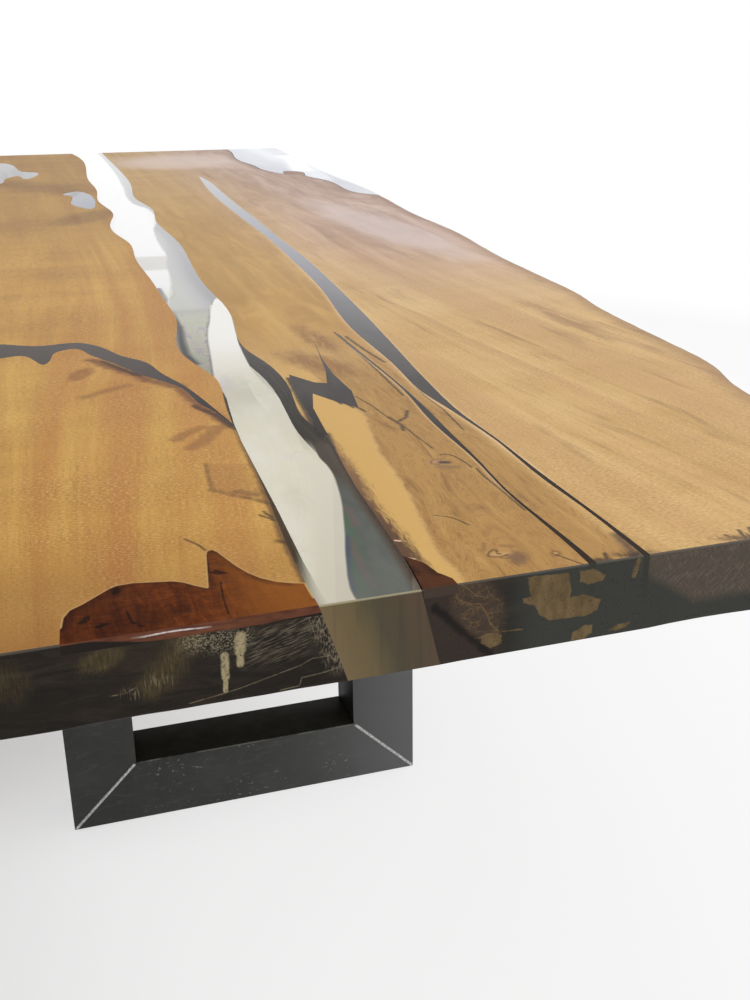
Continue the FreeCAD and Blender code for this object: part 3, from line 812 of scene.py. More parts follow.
def right_features(paint, grain):
    """Marks of the right slab: a golden strip, a knotty brown zone and the fringes of its cracks."""
    long_left = crack_side("long_crack_resin", 0)
    long_right = crack_side("long_crack_resin", 1)
    beyond_strip = paint.beside(STRIP_BOUNDARY, 0.004, 70)
    beyond_crack = paint.beside(long_left)
    near = paint.y.rise(-1, -1.35)
    swirl = paint.noise((55, 7, 55), 4, 0.6, 2.2, grain)
    brown = near * beyond_strip.rise(-0.003, 0.004) * beyond_crack.rise(0, -0.012)
    paint.mark("b3843c", 0.85, brown)
    paint.mark("855723", 0.6, brown * swirl.rise(0.52, 0.7))
    curls = paint.math("SINE", swirl * 70)
    paint.mark("6f4519", 0.3, brown * curls.rise(0.4, 1))
    paint.mark("d2a75f", 0.4, brown * swirl.rise(0.46, 0.32))
    strip = near * beyond_strip.rise(0.002, -0.006)
    paint.mark("d7aa5b", 0.9, strip)
    west = beyond_crack.rise(0, -0.01)
    golden = west * paint.y.rise(-1.25, -0.95) * paint.y.rise(1.2, -0.2)
    sunlit = paint.noise((18, 4, 18), 5, 0.62, 0.8, grain).ramp((0.36, "b2822f"), (0.52, "c2913e"),
            (0.66, "d2a44e"))
    paint.mark(sunlit, 0.75, golden)
    halo = [
        paint.patch((78, -1185), 150, 50, 112, 0.5, 40, 1),
        paint.patch((108, -1060), 160, 34, 95, 0.5, 40, 1)]
    broken = paint.noise((80, 26, 80), 5, 0.7, 0.8, grain).spread(-0.5, 2.2)
    paint.mark(SMUDGE, 0.7, broken * most(*halo))
    streaks = paint.noise((34, 3.2, 34), 4, 0.62, 0.6, grain)
    east = paint.beside(long_right).rise(0, 0.03)
    paint.mark("8f6334", 0.6, east * streaks.rise(0.54, 0.74))
    # Painted sheen: a pinkish haze towards the right and far back, a pale streak near the right edge and a
    # glare patch near the far end stand for reflections of the bright surroundings.
    pink = paint.y.rise(-1.15, -0.1) * paint.x.rise(0.1, 0.5)
    rosy_sheen = paint.noise((22, 3, 22), 4, 0.6, 0.6, grain).ramp((0.36, "ae8c84"), (0.5, "c4a69c"),
            (0.64, "d8bcb4"))
    paint.mark(rosy_sheen, 0.8, pink)
    paint.mark("dfcdc8", 0.6, paint.patch((485, -130), 750, 120, 95, 0.4, 12, 1))
    glare = paint.patch((290, 1450), 400, 460, -19, 0.3, 9, 1)
    paint.mark("f0d9cc", 0.7, glare)
    knots(paint)
    lines = paint.strokes(
        ([(83, -1338), (90, -1381), (94, -1430), (99, -1450), (101, -1490), (104, -1535)], 2, 0.8),
        ([(94, -1424), (99, -1455), (95, -1472)], 4.2, 1.4),
        ([(100, -1441), (111, -1431), (120, -1408)], 4.4, 1.6),
        ([(141, -1030), (140, -1169), (137, -1262), (134, -1351)], 3, 1.6),
        ([(149, -1060), (152, -1140), (158, -1205)], 4.2, 2.4),
        ([(162, -1282), (156, -1358), (158, -1419), (153, -1491)], 2, 1.2),
        ([(123, -1603), (121.8, -1622), (122.1, -1633), (123, -1658), (123.5, -1713)], 2.2, 0.8),
        ([(109, -1806), (121, -1830)], 1.8, 0.6),
        ([(48, -1699), (60, -1709), (68, -1729)], 1.6, 1),
        ([(104, -1556), (109, -1555), (112.5, -1557), (116, -1564), (118, -1576), (119.5, -1586),
            (120, -1598)], 2.2, 0.6))
    paint.mark(DARK_BROWN, 0.75, lines)
    # Painted highlight: thin pale lines along the crack edges, left out near the front end.
    crack_rim_highlights = []
    for side in (long_left, long_right, crack_side("branch_crack_resin", 0)):
        rim = abs(paint.beside(side, 0.0016, 130)).rise(0.0032, 0.0008)
        end = side[-1][1]
        crack_rim_highlights.append(rim * paint.y.rise(end, end - 0.15))
    paint.mark("e6c798", 0.45, paint.y.rise(-1.72, -1.6) * most(*crack_rim_highlights))
    edge = paint.beside(resampled(RIVER_RIGHT[0], RIVER_POINTS))
    splinter = paint.noise((260, 42, 260), 4, 0.7, 1).spread(-0.013, 0.013)
    depth = paint.along([(-1.86, 0.013), (-1.79, 0.013), (-1.74, 0.011), (-1.66, 0.008), (-1.6, 0.009),
            (-1.52, 0.005), (-1.38, 0.002)])
    torn = (edge + splinter).rise(depth + 0.006, depth - 0.006)
    torn = torn * paint.y.rise(-1.34, -1.44)
    torn_colour = paint.y.rise(-1.55, -1.72).ramp((0, "7d5433"), (1, "47200f"))
    paint.mark(torn_colour, 0.9, torn)
    leg = paint.stroke([(12, -1462), (6, -1500)], 20, 4, 160, 0.3)
    bristles = paint.strokes(
        ([(30, -1240), (21, -1330), (13, -1425)], 6, 3, 160),
        ([(72, -1372), (77, -1396)], 3, 1.2, 200),
        ([(65, -1358), (69, -1380)], 3, 1.2, 200),
        ([(57, -1340), (60, -1362)], 2.6, 1.2, 200))
    paint.mark("34291f", 0.9, leg, bristles)
    ends = paint.noise((330, 30, 330), 4, 0.75).spread(-0.016, 0.016)
    from_front = paint.y + ends - front_line(paint)
    burnt = [
        paint.patch((164, -1818), 40, 22, 150, 0.5, 120, 0.8),
        paint.patch((270, -1815), 90, 30, 160, 0.5, 120, 0.8),
        paint.patch((138, -1828), 20, 12, 150, 0.5, 120, 0.8)]
    spikes = paint.strokes(
        ([(145.5, -1816), (141, -1829)], 3.6, 1.2),
        ([(253, -1814), (259, -1827)], 3, 1.2),
        ([(269, -1808), (264, -1827)], 3.4, 1.4),
        ([(280, -1806), (272, -1826)], 3.4, 1.4))
    by_crack = paint.stroke([(172, -1786), (169, -1812), (165, -1830)], 10, 3, 200, 1)
    paint.mark(FRINGE, 0.8, by_crack)
    paint.mark(DARK_BROWN, 0.8, from_front.rise(0.014, 0.004) * most(*burnt), spikes)
    glints = paint.strokes(([(0, -1776.5), (3, -1779)], 3, 0.6), ([(1, -1740), (4, -1742)], 2.6, 0.6))
    paint.mark("efc3a4", 0.9, glints)
    rim = paint.beside(resampled(RIGHT_EDGE[0], RIVER_POINTS), 0.012, 25)
    paint.mark("8d6240", 0.5, rim.rise(-0.035, -0.004))


def front_line(paint):
    """The front end's y at each x."""
    lean = (FRONT_RIGHT[1] - FRONT_LEFT[1]) / (FRONT_RIGHT[0] - FRONT_LEFT[0])
    return paint.x * lean + (FRONT_LEFT[1] - lean * FRONT_LEFT[0])


TAN_OVER_CRACK = [(118.6, 736.3), (125.2, 733.1), (138.2, 734.3), (140.1, 738.3), (128.8, 745.3),
                  (118.1, 744.9)]


def end_grain():
    """Dark sawn ends with tan blotches, pale runs and fine veins on the front one."""
    paint = Paint("end_grain_wood", "xz")
    growth = paint.noise((16, 16, 70), 5, 0.62, 1.2)
    pores = paint.noise(600, 2)
    hairs = paint.noise((700, 1, 90), 3, 0.6, 0.6)
    paint.colour = growth.ramp((0.32, "17130e"), (0.5, "241e17"), (0.66, "332a20"))
    olive_side = paint.x.rise(0.04, 0.09)
    paint.mark("3d3e38", 0.9, olive_side)
    red_side = paint.x.between(0, 0.045, 0.02)
    paint.mark("3b3029", 0.75, red_side)
    olive = [
        paint.patch((-234, 734), 30, 16, 20, 0.5, 150, 0.9),
        paint.stroke([(-204, 709), (-188, 724), (-178, 738)], 18, 5, 120, 0.9),
        paint.patch((-330, 715), 60, 30, 40, 0.6, 90, 1) * 0.6,
        paint.patch((-298, 728), 26, 34, 60, 0.6, 90, 1) * 0.5]
    rubbed = hairs.rise(0.4, 0.7).spread(0.35, 1)
    paint.mark("6a5a38", 0.65, rubbed * most(*olive))
    layers = paint.noise((70, 1, 800), 5, 0.7, 0.6, slanted(paint, 0.28))
    grey = paint.patch((-108, 728), 70, 30, 15, 0.4, 70, 0.9) * layers.rise(0.47, 0.62)
    paint.mark("867b66", 0.55, grey)
    grains = paint.noise((900, 1, 260), 3, 0.6).rise(0.45, 0.6)
    paint.mark("8d7f6a", 0.7, paint.stroke([(-86, 742), (-78, 722), (-72, 704)], 16, 3) * grains)
    specks = paint.noise(780, 3, 0.7).rise(0.49, 0.57)
    speckled = paint.stroke([(-174, 738), (-160, 735), (-140, 734)], 16, 5, 160) * specks
    paint.mark("9c9177", 0.66, speckled)
    runs = paint.strokes(
        ([(-152.7, 722.5), (-153, 706)], 5.4, 0.8, 140, 0.35),
        ([(-153, 710), (-153.6, 695)], 3.4, 1, 140, 0.35),
        ([(-141.2, 735), (-141.8, 724)], 7.4, 1, 140, 0.35),
        ([(-141.6, 726), (-142.2, 714)], 5, 1, 140, 0.35))
    blotched = paint.noise(420, 3, 0.6).rise(0.36, 0.52).spread(0.5, 1)
    paint.mark("ab9c78", 0.95, blotched * runs)
    twigs = paint.strokes(
        ([(-179, 690), (-156, 693), (-144, 695), (-100, 705), (-91, 709), (-75, 709)], 0.7, 0.4, 300),
        ([(-115, 688), (-101, 689), (-99, 695), (-86, 696), (-71, 698)], 0.8, 0.5, 300),
        ([(-231, 706), (-221, 706), (-213, 710)], 0.5, 1, 500))
    fading = paint.noise(160, 3, 0.6).spread(0, 1.4)
    paint.mark("91846a", 0.62, fading * twigs)
    hairy = paint.strokes(([(-206, 713), (-190, 710.5)], 7, 2), ([(-222, 706), (-214, 704)], 7, 2))
    paint.mark("7d7259", 0.6, hairy * hairs.rise(0.5, 0.62))
    network = paint.strokes(
        ([(16, 749), (20, 737), (29, 732), (37, 731), (44, 720), (46, 713), (54, 704)], 1.2, 1.6, 380),
        ([(26, 746), (34, 738), (43, 735)], 0.7, 1, 380),
        ([(29, 731), (40, 727), (46, 712)], 0.7, 1, 380),
        ([(34, 703), (44, 703), (54, 705), (72, 704)], 1, 1.4, 380))
    veins = paint.cell_edges((75, 1, 95), 1.4).rise(0.035, 0.008)
    spread_of_veins = paint.patch((36, 727), 60, 36, 120, 0.3)
    veined = most(veins * spread_of_veins, network)
    paint.mark("8a6d45", 0.65, fading * veined)
    paint.mark("6b5742", 0.4, fading * spread_of_veins)
    black = paint.stroke([(2, 733), (22, 712), (46, 688)], 6, 3)
    paint.mark("0d0b09", 0.8, black)
    blotches = [
        [(80.5, 722), (111, 722), (111.5, 733), (108.5, 744.5), (75, 746.5)],
        [(85.5, 713.5), (94, 707.8), (124.6, 706), (134, 710), (137, 718), (123.5, 724.8), (80.8, 723.5)],
        [(71.2, 726), (80, 723), (82, 730), (71, 730)],
        TAN_OVER_CRACK,
        [(113.6, 687), (123.5, 686.2), (131, 690.7), (131.6, 698.3), (125, 698.3), (114.3, 693.6)],
        [(145.4, 690.4), (152.2, 689), (161.1, 691), (163.1, 694), (154.1, 694.5)],
        [(38.8, 698), (46, 692.5), (55.5, 695), (55.3, 701.7), (48, 705.2), (37.6, 704.8)]]
    tan = [paint.area(corners, 2.2, 150) for corners in blotches]
    tan.append(paint.stroke([(168, 746), (165, 734)], 4, 1, 170, 0.5))
    tan_tone = paint.noise((120, 1, 60), 4, 0.6).ramp((0.35, "624f33"), (0.65, "7b6644"))
    paint.mark(tan_tone, 0.9, *tan)
    leaning = paint.noise((1000, 1, 900), 3, 0.65, 0.4, sheared(paint, 1.1))
    crossing = paint.noise((1000, 1, 900), 3, 0.65, 0.4, sheared(paint, -0.6))
    scratches = most(leaning.rise(0.54, 0.68), crossing.rise(0.57, 0.7))
    brown_from = most(paint.x * -0.667 + 0.849, 0.702)
    right_brown = (paint.z - brown_from).rise(-0.004, 0.008) * paint.x.between(0.185, 0.48, 0.02)
    left_brown = paint.z.rise(0.712, 0.738) * paint.x.between(-0.5, -0.36, 0.05)
    upper = right_brown + left_brown
    paint.mark("5a4f44", 0.8, upper)
    paint.mark("8b7c6a", 0.5, upper * scratches)
    paint.mark("0e0b08", 0.5, pores.rise(0.6, 0.72))
    arris = paint.z.rise(TOP - 0.0022, TOP - 0.0008)
    paint.mark("8a8378", 0.3, arris)
    normal = paint.bump(pores * 0.4 + growth * 0.6, 0.0006, 0.4)
    return paint.surface(Roughness=0.5, Specular_IOR_Level=0.14, Normal=normal)


def sheared(paint, lean):
    """Places of the front end, drawn out along lines that lean by so much x for each z."""
    across = paint.z * -lean + paint.x
    return paint.add("CombineXYZ", {0: across, 1: 0, 2: paint.z * 0.12}).outputs[0]


def slanted(paint, rise):
    """Places of the front end, turned so that lines which climb by so much z for each x run level."""
    return paint.add("CombineXYZ", {0: paint.x, 2: paint.x * -rise + paint.z}).outputs[0]


def live_wood():
    """The natural edge: barkless wood with long fibres, dark hollows and paler ridges."""
    paint = Paint("live_edge_wood")
    fibres = paint.noise((60, 9, 240), 5, 0.65, 0.8)
    hollows = paint.noise((14, 7, 40), 4, 0.6, 0.8)
    fine = paint.noise((300, 60, 900), 3, 0.6)
    paint.colour = fibres.ramp((0.32, "4f3119"), (0.5, "7d5429"), (0.68, "a87a42"))
    paint.mark("2e1b0e", 0.7, hollows.rise(0.5, 0.7))
    paint.mark("c39a5e", 0.35, fine.rise(0.58, 0.75))
    normal = paint.bump(fibres * 0.7 + fine * 0.3, 0.002, 0.6)
    return paint.surface(Roughness=0.5, Specular_IOR_Level=0.35, Normal=normal)


def river_wall():
    """Wood under the resin: dark and stained near the front, painted pale low down at the front end like the
    lit floor seen through, and greyer towards the far end where a reflection is painted.
    """
    paint = Paint("river_wall_wood")
    fibres = paint.noise((160, 10, 90), 4, 0.65, 0.6)
    stains = paint.noise((30, 6, 30), 4, 0.6, 0.5)
    paint.colour = fibres.ramp((0.32, "2f2319"), (0.5, "493a2c"), (0.68, "65513b"))
    olive = paint.x.rise(-0.02, -0.05)
    paint.mark("785733", 0.75, olive * paint.y.rise(-1.4, -1.6))
    paint.mark("1d1610", 0.6, stains.rise(0.55, 0.72))
    # Painted light: low down near the front end the left wall is painted pale, like the lit floor seen
    # through the resin.
    painted_floor_light = olive * paint.y.rise(-1.66, -1.76) * paint.z.rise(0.716, 0.696)
    paint.mark("d8cfae", 0.9, painted_floor_light)
    # Painted reflection: towards the far end the walls turn grey, as the resin's top reflects over them.
    paint.mark("8f8d90", 0.75, paint.y.rise(-0.95, -0.5))
    normal = paint.bump(fibres, 0.002, 0.6)
    return paint.surface(Roughness=0.6, Normal=normal)


# Lines on the resin's top, from the front end to the far end, that bound its painted views and shade of the
# uprights and walls seen through it.
UPRIGHT_SHADOW_LINE = [(-0.058, -1.84), (-0.058, -1.823), (-0.055, -1.801), (-0.049, -1.774),
                       (-0.042, -1.745), (-0.034, -1.715), (-0.026, -1.682), (-0.0175, -1.645),
                       (-0.010, -1.602), (-0.0065, -1.575), (-0.0055, -1.552), (-0.007, -1.528),
                       (-0.005, -1.504), (-0.004, -1.46), (-0.010, -1.40)]
FAR_UPRIGHT_LINE = [(-0.080, -1.40), (-0.054, -1.22), (-0.036, -1.08), (-0.024, -0.992), (-0.006, -0.902),
                    (0.013, -0.805), (0.030, -0.745), (0.10, -0.60)]
WALL_LINE = [(-0.004, -1.40), (0.001, -1.326), (0.0, -1.261), (-0.003, -1.200), (0.0, -1.141),
             (0.004, -1.089), (0.009, -1.034), (0.017, -0.975), (0.034, -0.85), (0.06, -0.70)]
FAR_GREY_LINE = [(-0.060, -1.0), (-0.050, -0.78), (-0.029, -0.70), (-0.026, -0.66), (-0.020, -0.61),
                 (-0.013, -0.54), (-0.004, -0.43), (0.008, -0.34), (0.012, -0.22), (0.022, -0.05),
                 (0.044, 0.10), (0.056, 0.28), (0.030, 0.45), (0.044, 0.78), (0.060, 1.2), (0.066, 1.84)]


def sheen_veil_along(paint):
    """How strongly a painted reflection veils the resin, from the front end to the far end."""
    return paint.along([(-1.84, 0), (-1.4, 0), (-1.15, 0.34), (-0.9, 0.6), (-0.72, 0.7), (-0.6, 0.86),
            (0.6, 0.86), (1.84, 0.86)])


def upright_view_and_stress_colours(paint):
    """Painted view of the near upright seen through the resin: grey, with green, pink and blue stress
    streaks, lighter near the front end, darker and browner further back, and a brown side by the wood.
    """
    cloudy = paint.noise((30, 12, 30), 3, 0.6, 0.8)
    paint.colour = cloudy.ramp((0.35, "5c5e58"), (0.65, "6a6d67"))
    green = paint.strokes(
        ([(-20, -1670), (-25, -1697), (-29, -1723), (-36, -1772)], 8, 2, 140, 1),
        ([(-43, -1764), (-46, -1793), (-48, -1821)], 6, 2, 140, 1))
    pink = paint.strokes(
        ([(-32, -1723), (-38, -1778), (-40, -1818)], 6, 2, 140, 1),
        ([(-16, -1660), (-20, -1700)], 6, 2, 140, 1))
    blue = paint.stroke([(-33, -1720), (-40, -1745), (-50, -1785), (-57, -1822)], 5, 1, soft=1)
    paint.mark("55705a", 0.7, green)
    paint.mark("79625f", 0.6, pink)
    paint.mark("4d5872", 0.7, blue)
    side = paint.beside(resampled(RIVER_RIGHT[0], RIVER_POINTS), 0.002, 60)
    paint.mark("787b74", 0.5, paint.y.rise(-1.74, -1.81))
    paint.mark("4f4338", 0.9, paint.y.rise(-1.64, -1.56))
    paint.mark("5c4f42", 0.85, side.rise(-0.01, -0.004))
    paint.mark("3a2e24", 0.6, side.rise(-0.005, -0.001))


def clear_resin():
    """Clear casting resin; its top carries a pale veil of painted reflection far away, faint stress colours
    over the frames, and painted views and shade of the frames and walls seen through it.
    """
    paint = Paint("clear_resin")
    on_top = paint.z.rise(TOP - 0.002, TOP - 0.0005)
    wisps = paint.noise((9, 4, 9), 4, 0.6, 1)
    behind = paint.y - FRONT_Y
    # Painted shade: the glass is tinted a greyer cream towards the front end, for the shaded floor seen
    # through it.
    body = behind.ramp((0, "d9d1bd"), (0.34, "eae4ce"), (0.66, "e7e3d2"), (0.82, "faf6e5"), (0.94, WHITE))
    body = paint.mix(wisps.rise(0.5, 0.7) * 0.3, body, WHITE)
    # Painted view and shade: right of this line the near upright and its shadow, seen through the resin, are
    # painted on the top.
    past_line = paint.beside(UPRIGHT_SHADOW_LINE)
    over_upright = past_line.rise(-0.0008, 0.0016) * paint.y.rise(-1.38, -1.39)
    upright_view = over_upright * paint.y.rise(-1.46, -1.5)
    # Painted light: a pale strip left of the line hides the dark inner face of the upright seen through.
    beside_line = past_line.rise(-0.04, -0.017) * past_line.rise(0.0015, -0.0005)
    beside_line = beside_line * paint.y.rise(-1.46, -1.56)
    painted_light_cover = behind.ramp((0, "d3cbb9"), (0.25, "e0dbc9"))
    left_shade = paint.strokes(
        ([(-52, -930), (-62, -1020), (-67, -1091), (-61, -1140)], 11),
        ([(-44, -650), (-46, -780), (-52, -930)], 8))
    # Painted reflection: the veil's faint hues, turning white far away.
    far_hues = paint.noise((34, 8, 34), 3, 0.5, 1.5).ramp((0.32, "d2c6d8"), (0.45, "f0e9d6"),
            (0.55, "e2ecca"), (0.68, "f6dcdc"))
    far_hues = paint.mix(paint.y.rise(-0.76, -0.62) * 0.95, far_hues, WHITE)
    upright_view_and_stress_colours(paint)
    paint.colour = paint.mix(over_upright, far_hues, paint.colour)
    light_across = paint.y.between(-0.47, -0.36, 0.03)
    paint.mark("d8d4cd", 1, light_across)
    paint.mark(painted_light_cover, 1, beside_line)
    paint.mark("3c3d42", 1, left_shade)
    # Painted view and shade: the right wall seen through the resin beside the far upright, darker grey
    # further back.
    right_edge = paint.beside(resampled(RIVER_RIGHT[0], RIVER_POINTS))
    far_grey = right_edge.rise(-0.05, -0.004).ramp((0, "cecec8"), (0.25, "c8c8c6"), (0.5, "c0c0c0"),
            (0.75, "b4b4b5"), (1, "a0a0a4"))
    far_grey = paint.mix(paint.y.rise(-0.75, -0.2) * 0.26, far_grey, "55555d")
    past_upright = paint.beside(FAR_UPRIGHT_LINE)
    far_side = paint.beside(FAR_GREY_LINE, 0.002, 30).rise(-0.002, 0.005) * past_upright.rise(0.003, -0.003)
    far_side = far_side * paint.y.rise(-0.9, -0.8)
    paint.mark(far_grey, 1, far_side)
    # Painted light: a pale wedge between the far upright and the right wall, brighter further back.
    wedge = past_upright.rise(-0.001, 0.003) * paint.beside(WALL_LINE).rise(0.0012, -0.0012)
    wedge = wedge * paint.y.rise(-1.3, -1.16) * paint.y.rise(-0.73, -0.77)
    wedge_light = paint.y.rise(-1.25, -1).ramp((0, "e9e3d1"), (1, "fffdf6"))
    paint.mark(wedge_light, 1, wedge)
    # Painted reflection: a pale veil by the far upright and over the far part of the river, none near the
    # front end.
    over_frame = paint.beside(FAR_UPRIGHT_LINE, 0.006, 40).rise(0.004, -0.004)
    over_frame = most(over_frame, paint.y.rise(-0.8, -0.6))
    sheen_veil = over_frame * sheen_veil_along(paint)
    # How much of the top shows the painted layer of views, shade, light and reflection instead of clear
    # glass.
    share = on_top * most(sheen_veil, upright_view * 0.88, beside_line * 0.93, left_shade * 0.75, far_side * 0.9,
            wedge * 0.97, light_across * 0.6)
    glass = paint.principled(Base_Color=body, Roughness=0.02, IOR=1.5, Transmission_Weight=1)
    painted_top = paint.principled(Base_Color=paint.colour, Roughness=0.05)
    resin = paint.blend(share, glass, painted_top)
    shadow = paint.add("LightPath").outputs["Is Shadow Ray"]
    clear = paint.add("BsdfTransparent", {"Color": "e9e8e0"}).outputs[0]
    return paint.finish(paint.blend(shadow, resin, clear))


def resin_end():
    """The river's sawn and polished front end, painted opaque: its olive-to-brown colour stands for the
    stained walls inside and the light seen through the resin.
    """
    paint = Paint("resin_end_face", "xz")
    left_top, left_bottom = (edge[0][0] for edge in RIVER_LEFT)
    width = RIVER_RIGHT[0][0][0] - left_top
    from_left = (paint.z - TOP) * ((left_bottom - left_top) / THICKNESS) + paint.x - left_top
    waver = paint.noise((30, 1, 12)).spread(-0.12, 0.12)
    across = from_left * (1 / width) + waver
    paint.colour = across.ramp((0, "75613e"), (0.3, "685834"), (0.52, "4a4129"), (0.72, "4c3e26"),
            (0.92, "523f28"))
    drawn = paint.noise((170, 1, 8), 4, 0.6, 0.3)
    paint.mark("2d2418", 0.35, drawn.rise(0.5, 0.72))
    paint.mark("c9c19c", 0.6, paint.z.rise(TOP - 0.0022, TOP - 0.001))
    return paint.surface(Roughness=0.16, Specular_IOR_Level=0.35)


def dark_resin():
    """Smoke-grey resin in the cracks, browner and darker towards the front, and blue-grey towards the far end
    with a painted reflection.
    """
    paint = Paint("dark_resin")
    tone = paint.noise((40, 8, 40), 4, 0.6, 0.5)
    paint.colour = tone.ramp((0.3, "2a2522"), (0.7, "463e3a"))
    paint.mark("2e2016", 0.8, paint.y.rise(-1.4, -1.62))
    # Painted reflection: towards the far end the cracks turn blue-grey, like the bright surroundings
    # reflected at a low angle.
    paint.mark("4f5472", 0.7, paint.y.rise(-1.2, -0.2))
    paint.mark("55483f", 0.6, paint.x.rise(-0.07, -0.15))
    sawn = paint.facing(1).rise(-0.4, -0.8)
    paint.mark("383932", 1, sawn)
    paint.draw_on("xz")
    paint.mark("6f5b3c", 0.9, sawn * paint.area(TAN_OVER_CRACK, 2.2, 150))
    roughness = sawn.spread(0.07, 0.5)
    gloss = sawn.spread(0.5, 0.14)
    return paint.surface(Roughness=roughness, IOR=1.5, Specular_IOR_Level=gloss)


def pale_resin():
    """Milky blue-grey resin, with dark wood showing through in the left slab's pockets and a painted white
    reflection along the far corner pocket.
    """
    paint = Paint("pale_resin")
    clouds = paint.noise((7, 2.2, 7), 3, 0.5, 0.8)
    paint.colour = clouds.ramp((0.34, "7b8292"), (0.5, "a0a6b6"), (0.64, "c0c7d6"))
    left_side = paint.x.rise(0, -0.02)
    paint.mark("5b6272", 0.8, left_side)
    paint.mark("64564e", 0.6, paint.x.rise(-0.16, -0.18))
    broken = paint.noise((40, 5, 40), 4, 0.6, 0.8).rise(0.44, 0.58)
    wood_below = [
        paint.stroke([(-100, 610), (-80, 690)], 24, 6, 60, 1),
        broken * paint.patch((-225, 1240), 400, 120, 70, 0.3, 30, 0.6)]
    paint.mark("3c2f28", 0.85, *wood_below)
    corner = paint.x.rise(0.6, 0.55) * left_side.rise(1, 0)
    paint.mark("59648c", 0.6, corner)
    # Painted reflection: a broad white streak along the far right corner pocket.
    white = paint.stroke([(600, 1050), (625, 1200), (653, 1400), (655, 1520)], 60, 12, 20, 0.6)
    paint.mark(WHITE, 0.9, white)
    by_edge = paint.stroke([(655, 1020), (640, 860), (625, 700)], 20, 6, 20)
    paint.mark("6b7488", 0.7, by_edge)
    gloss = left_side.spread(0.4, 0.1)
    return paint.surface(Roughness=0.05, IOR=1.5, Specular_IOR_Level=gloss)


def amber_resin():
    """Broken red-brown wood under clear resin, with a pale painted highlight round it and dark splits."""
    paint = Paint("amber_resin")
    from_edge = paint.number("Attribute", output="Fac", attribute_name="from_edge")
    fibres = paint.noise((150, 26, 150), 5, 0.68, 0.6)
    ripples = paint.noise((70, 140, 70), 3, 0.6, 0.8)
    clouds = paint.noise(22, 4, 0.6, 0.5)
    tone = fibres * 0.45 + ripples * 0.25 + clouds * 0.3
    paint.colour = tone.ramp((0.36, "3a1602"), (0.47, "552505"), (0.56, "6d3309"), (0.68, "884713"))
    right_chip = paint.x.rise(-0.03, -0.02)
    paint.mark("361202", 0.45, paint.x.rise(-0.175, -0.235))
    paint.mark("98591b", 0.75, paint.x.rise(-0.165, -0.095))
    paint.mark("472818", 0.85, right_chip)
    splits = [
        paint.stroke([(-145, -1716), (-149, -1752), (-141, -1758)], 3, 1.6, 200),
        paint.stroke([(-143, -1772), (-146, -1800), (-147, -1826)], 1.4, 1, 240),
        paint.patch((-217, -1764), 14, 6, 80, 0.9, 320),
        paint.patch((-241, -1804), 15, 6, 60, 1.1, 340),
        paint.patch((-231, -1816), 11, 5, 30, 1.1, 340),
        paint.stroke([(-213, -1800), (-211, -1818), (-205, -1826)], 2.2, 1.8, 240),
        paint.patch((-141, -1755), 13, 5, 130, 0.9, 320)]
    paint.mark("180a05", 0.8, *splits)
    paint.mark("2a0f06", 0.55, from_edge.rise(0.01, 0.002) * clouds.rise(0.42, 0.6))
    # Painted highlight: a pale line along the left chip's outline stands for its lit wall seen through the
    # resin.
    rim = from_edge.rise(0.0018, 0.0006) * right_chip.rise(0.9, 0.1)
    paint.mark("deb373", 0.65, rim)
    fronting = paint.facing(1).rise(-0.5, -0.9)
    strip_depth = paint.along([(-0.24, 0.0005), (-0.22, 0.004), (-0.2, 0.007), (-0.162, 0.0085),
            (-0.134, 0.0078), (-0.108, 0.0062), (-0.084, 0.0053)], paint.x)
    deep = (paint.z + strip_depth).rise(TOP, TOP - 0.0012)
    strip = paint.noise((60, 1, 260), 3, 0.6).ramp((0.35, "57301f"), (0.65, "74452f"))
    strip = paint.mix(deep, strip, "1d1711")
    strip = paint.mix(right_chip, strip, "47392f")
    paint.mark(strip, 1, fronting)
    paint.draw_on("xz")
    shine = paint.stroke([(-213.8, 746.8), (-206.2, 746.5), (-197.7, 746.9), (-189.2, 747.3),
            (-178.9, 747.1), (-168.6, 746.5), (-160.7, 746.3)], 1, 0.6, 420, 1)
    bright = paint.x.between(-0.196, -0.176, 0.022)
    paint.mark("efe6e2", 0.85, shine * fronting * bright)
    normal = paint.bump(tone, 0.004, 0.35)
    return paint.surface(Roughness=0.5, Specular_IOR_Level=0.05, Normal=normal, Coat_Weight=0.18,
            Coat_Roughness=0.05)


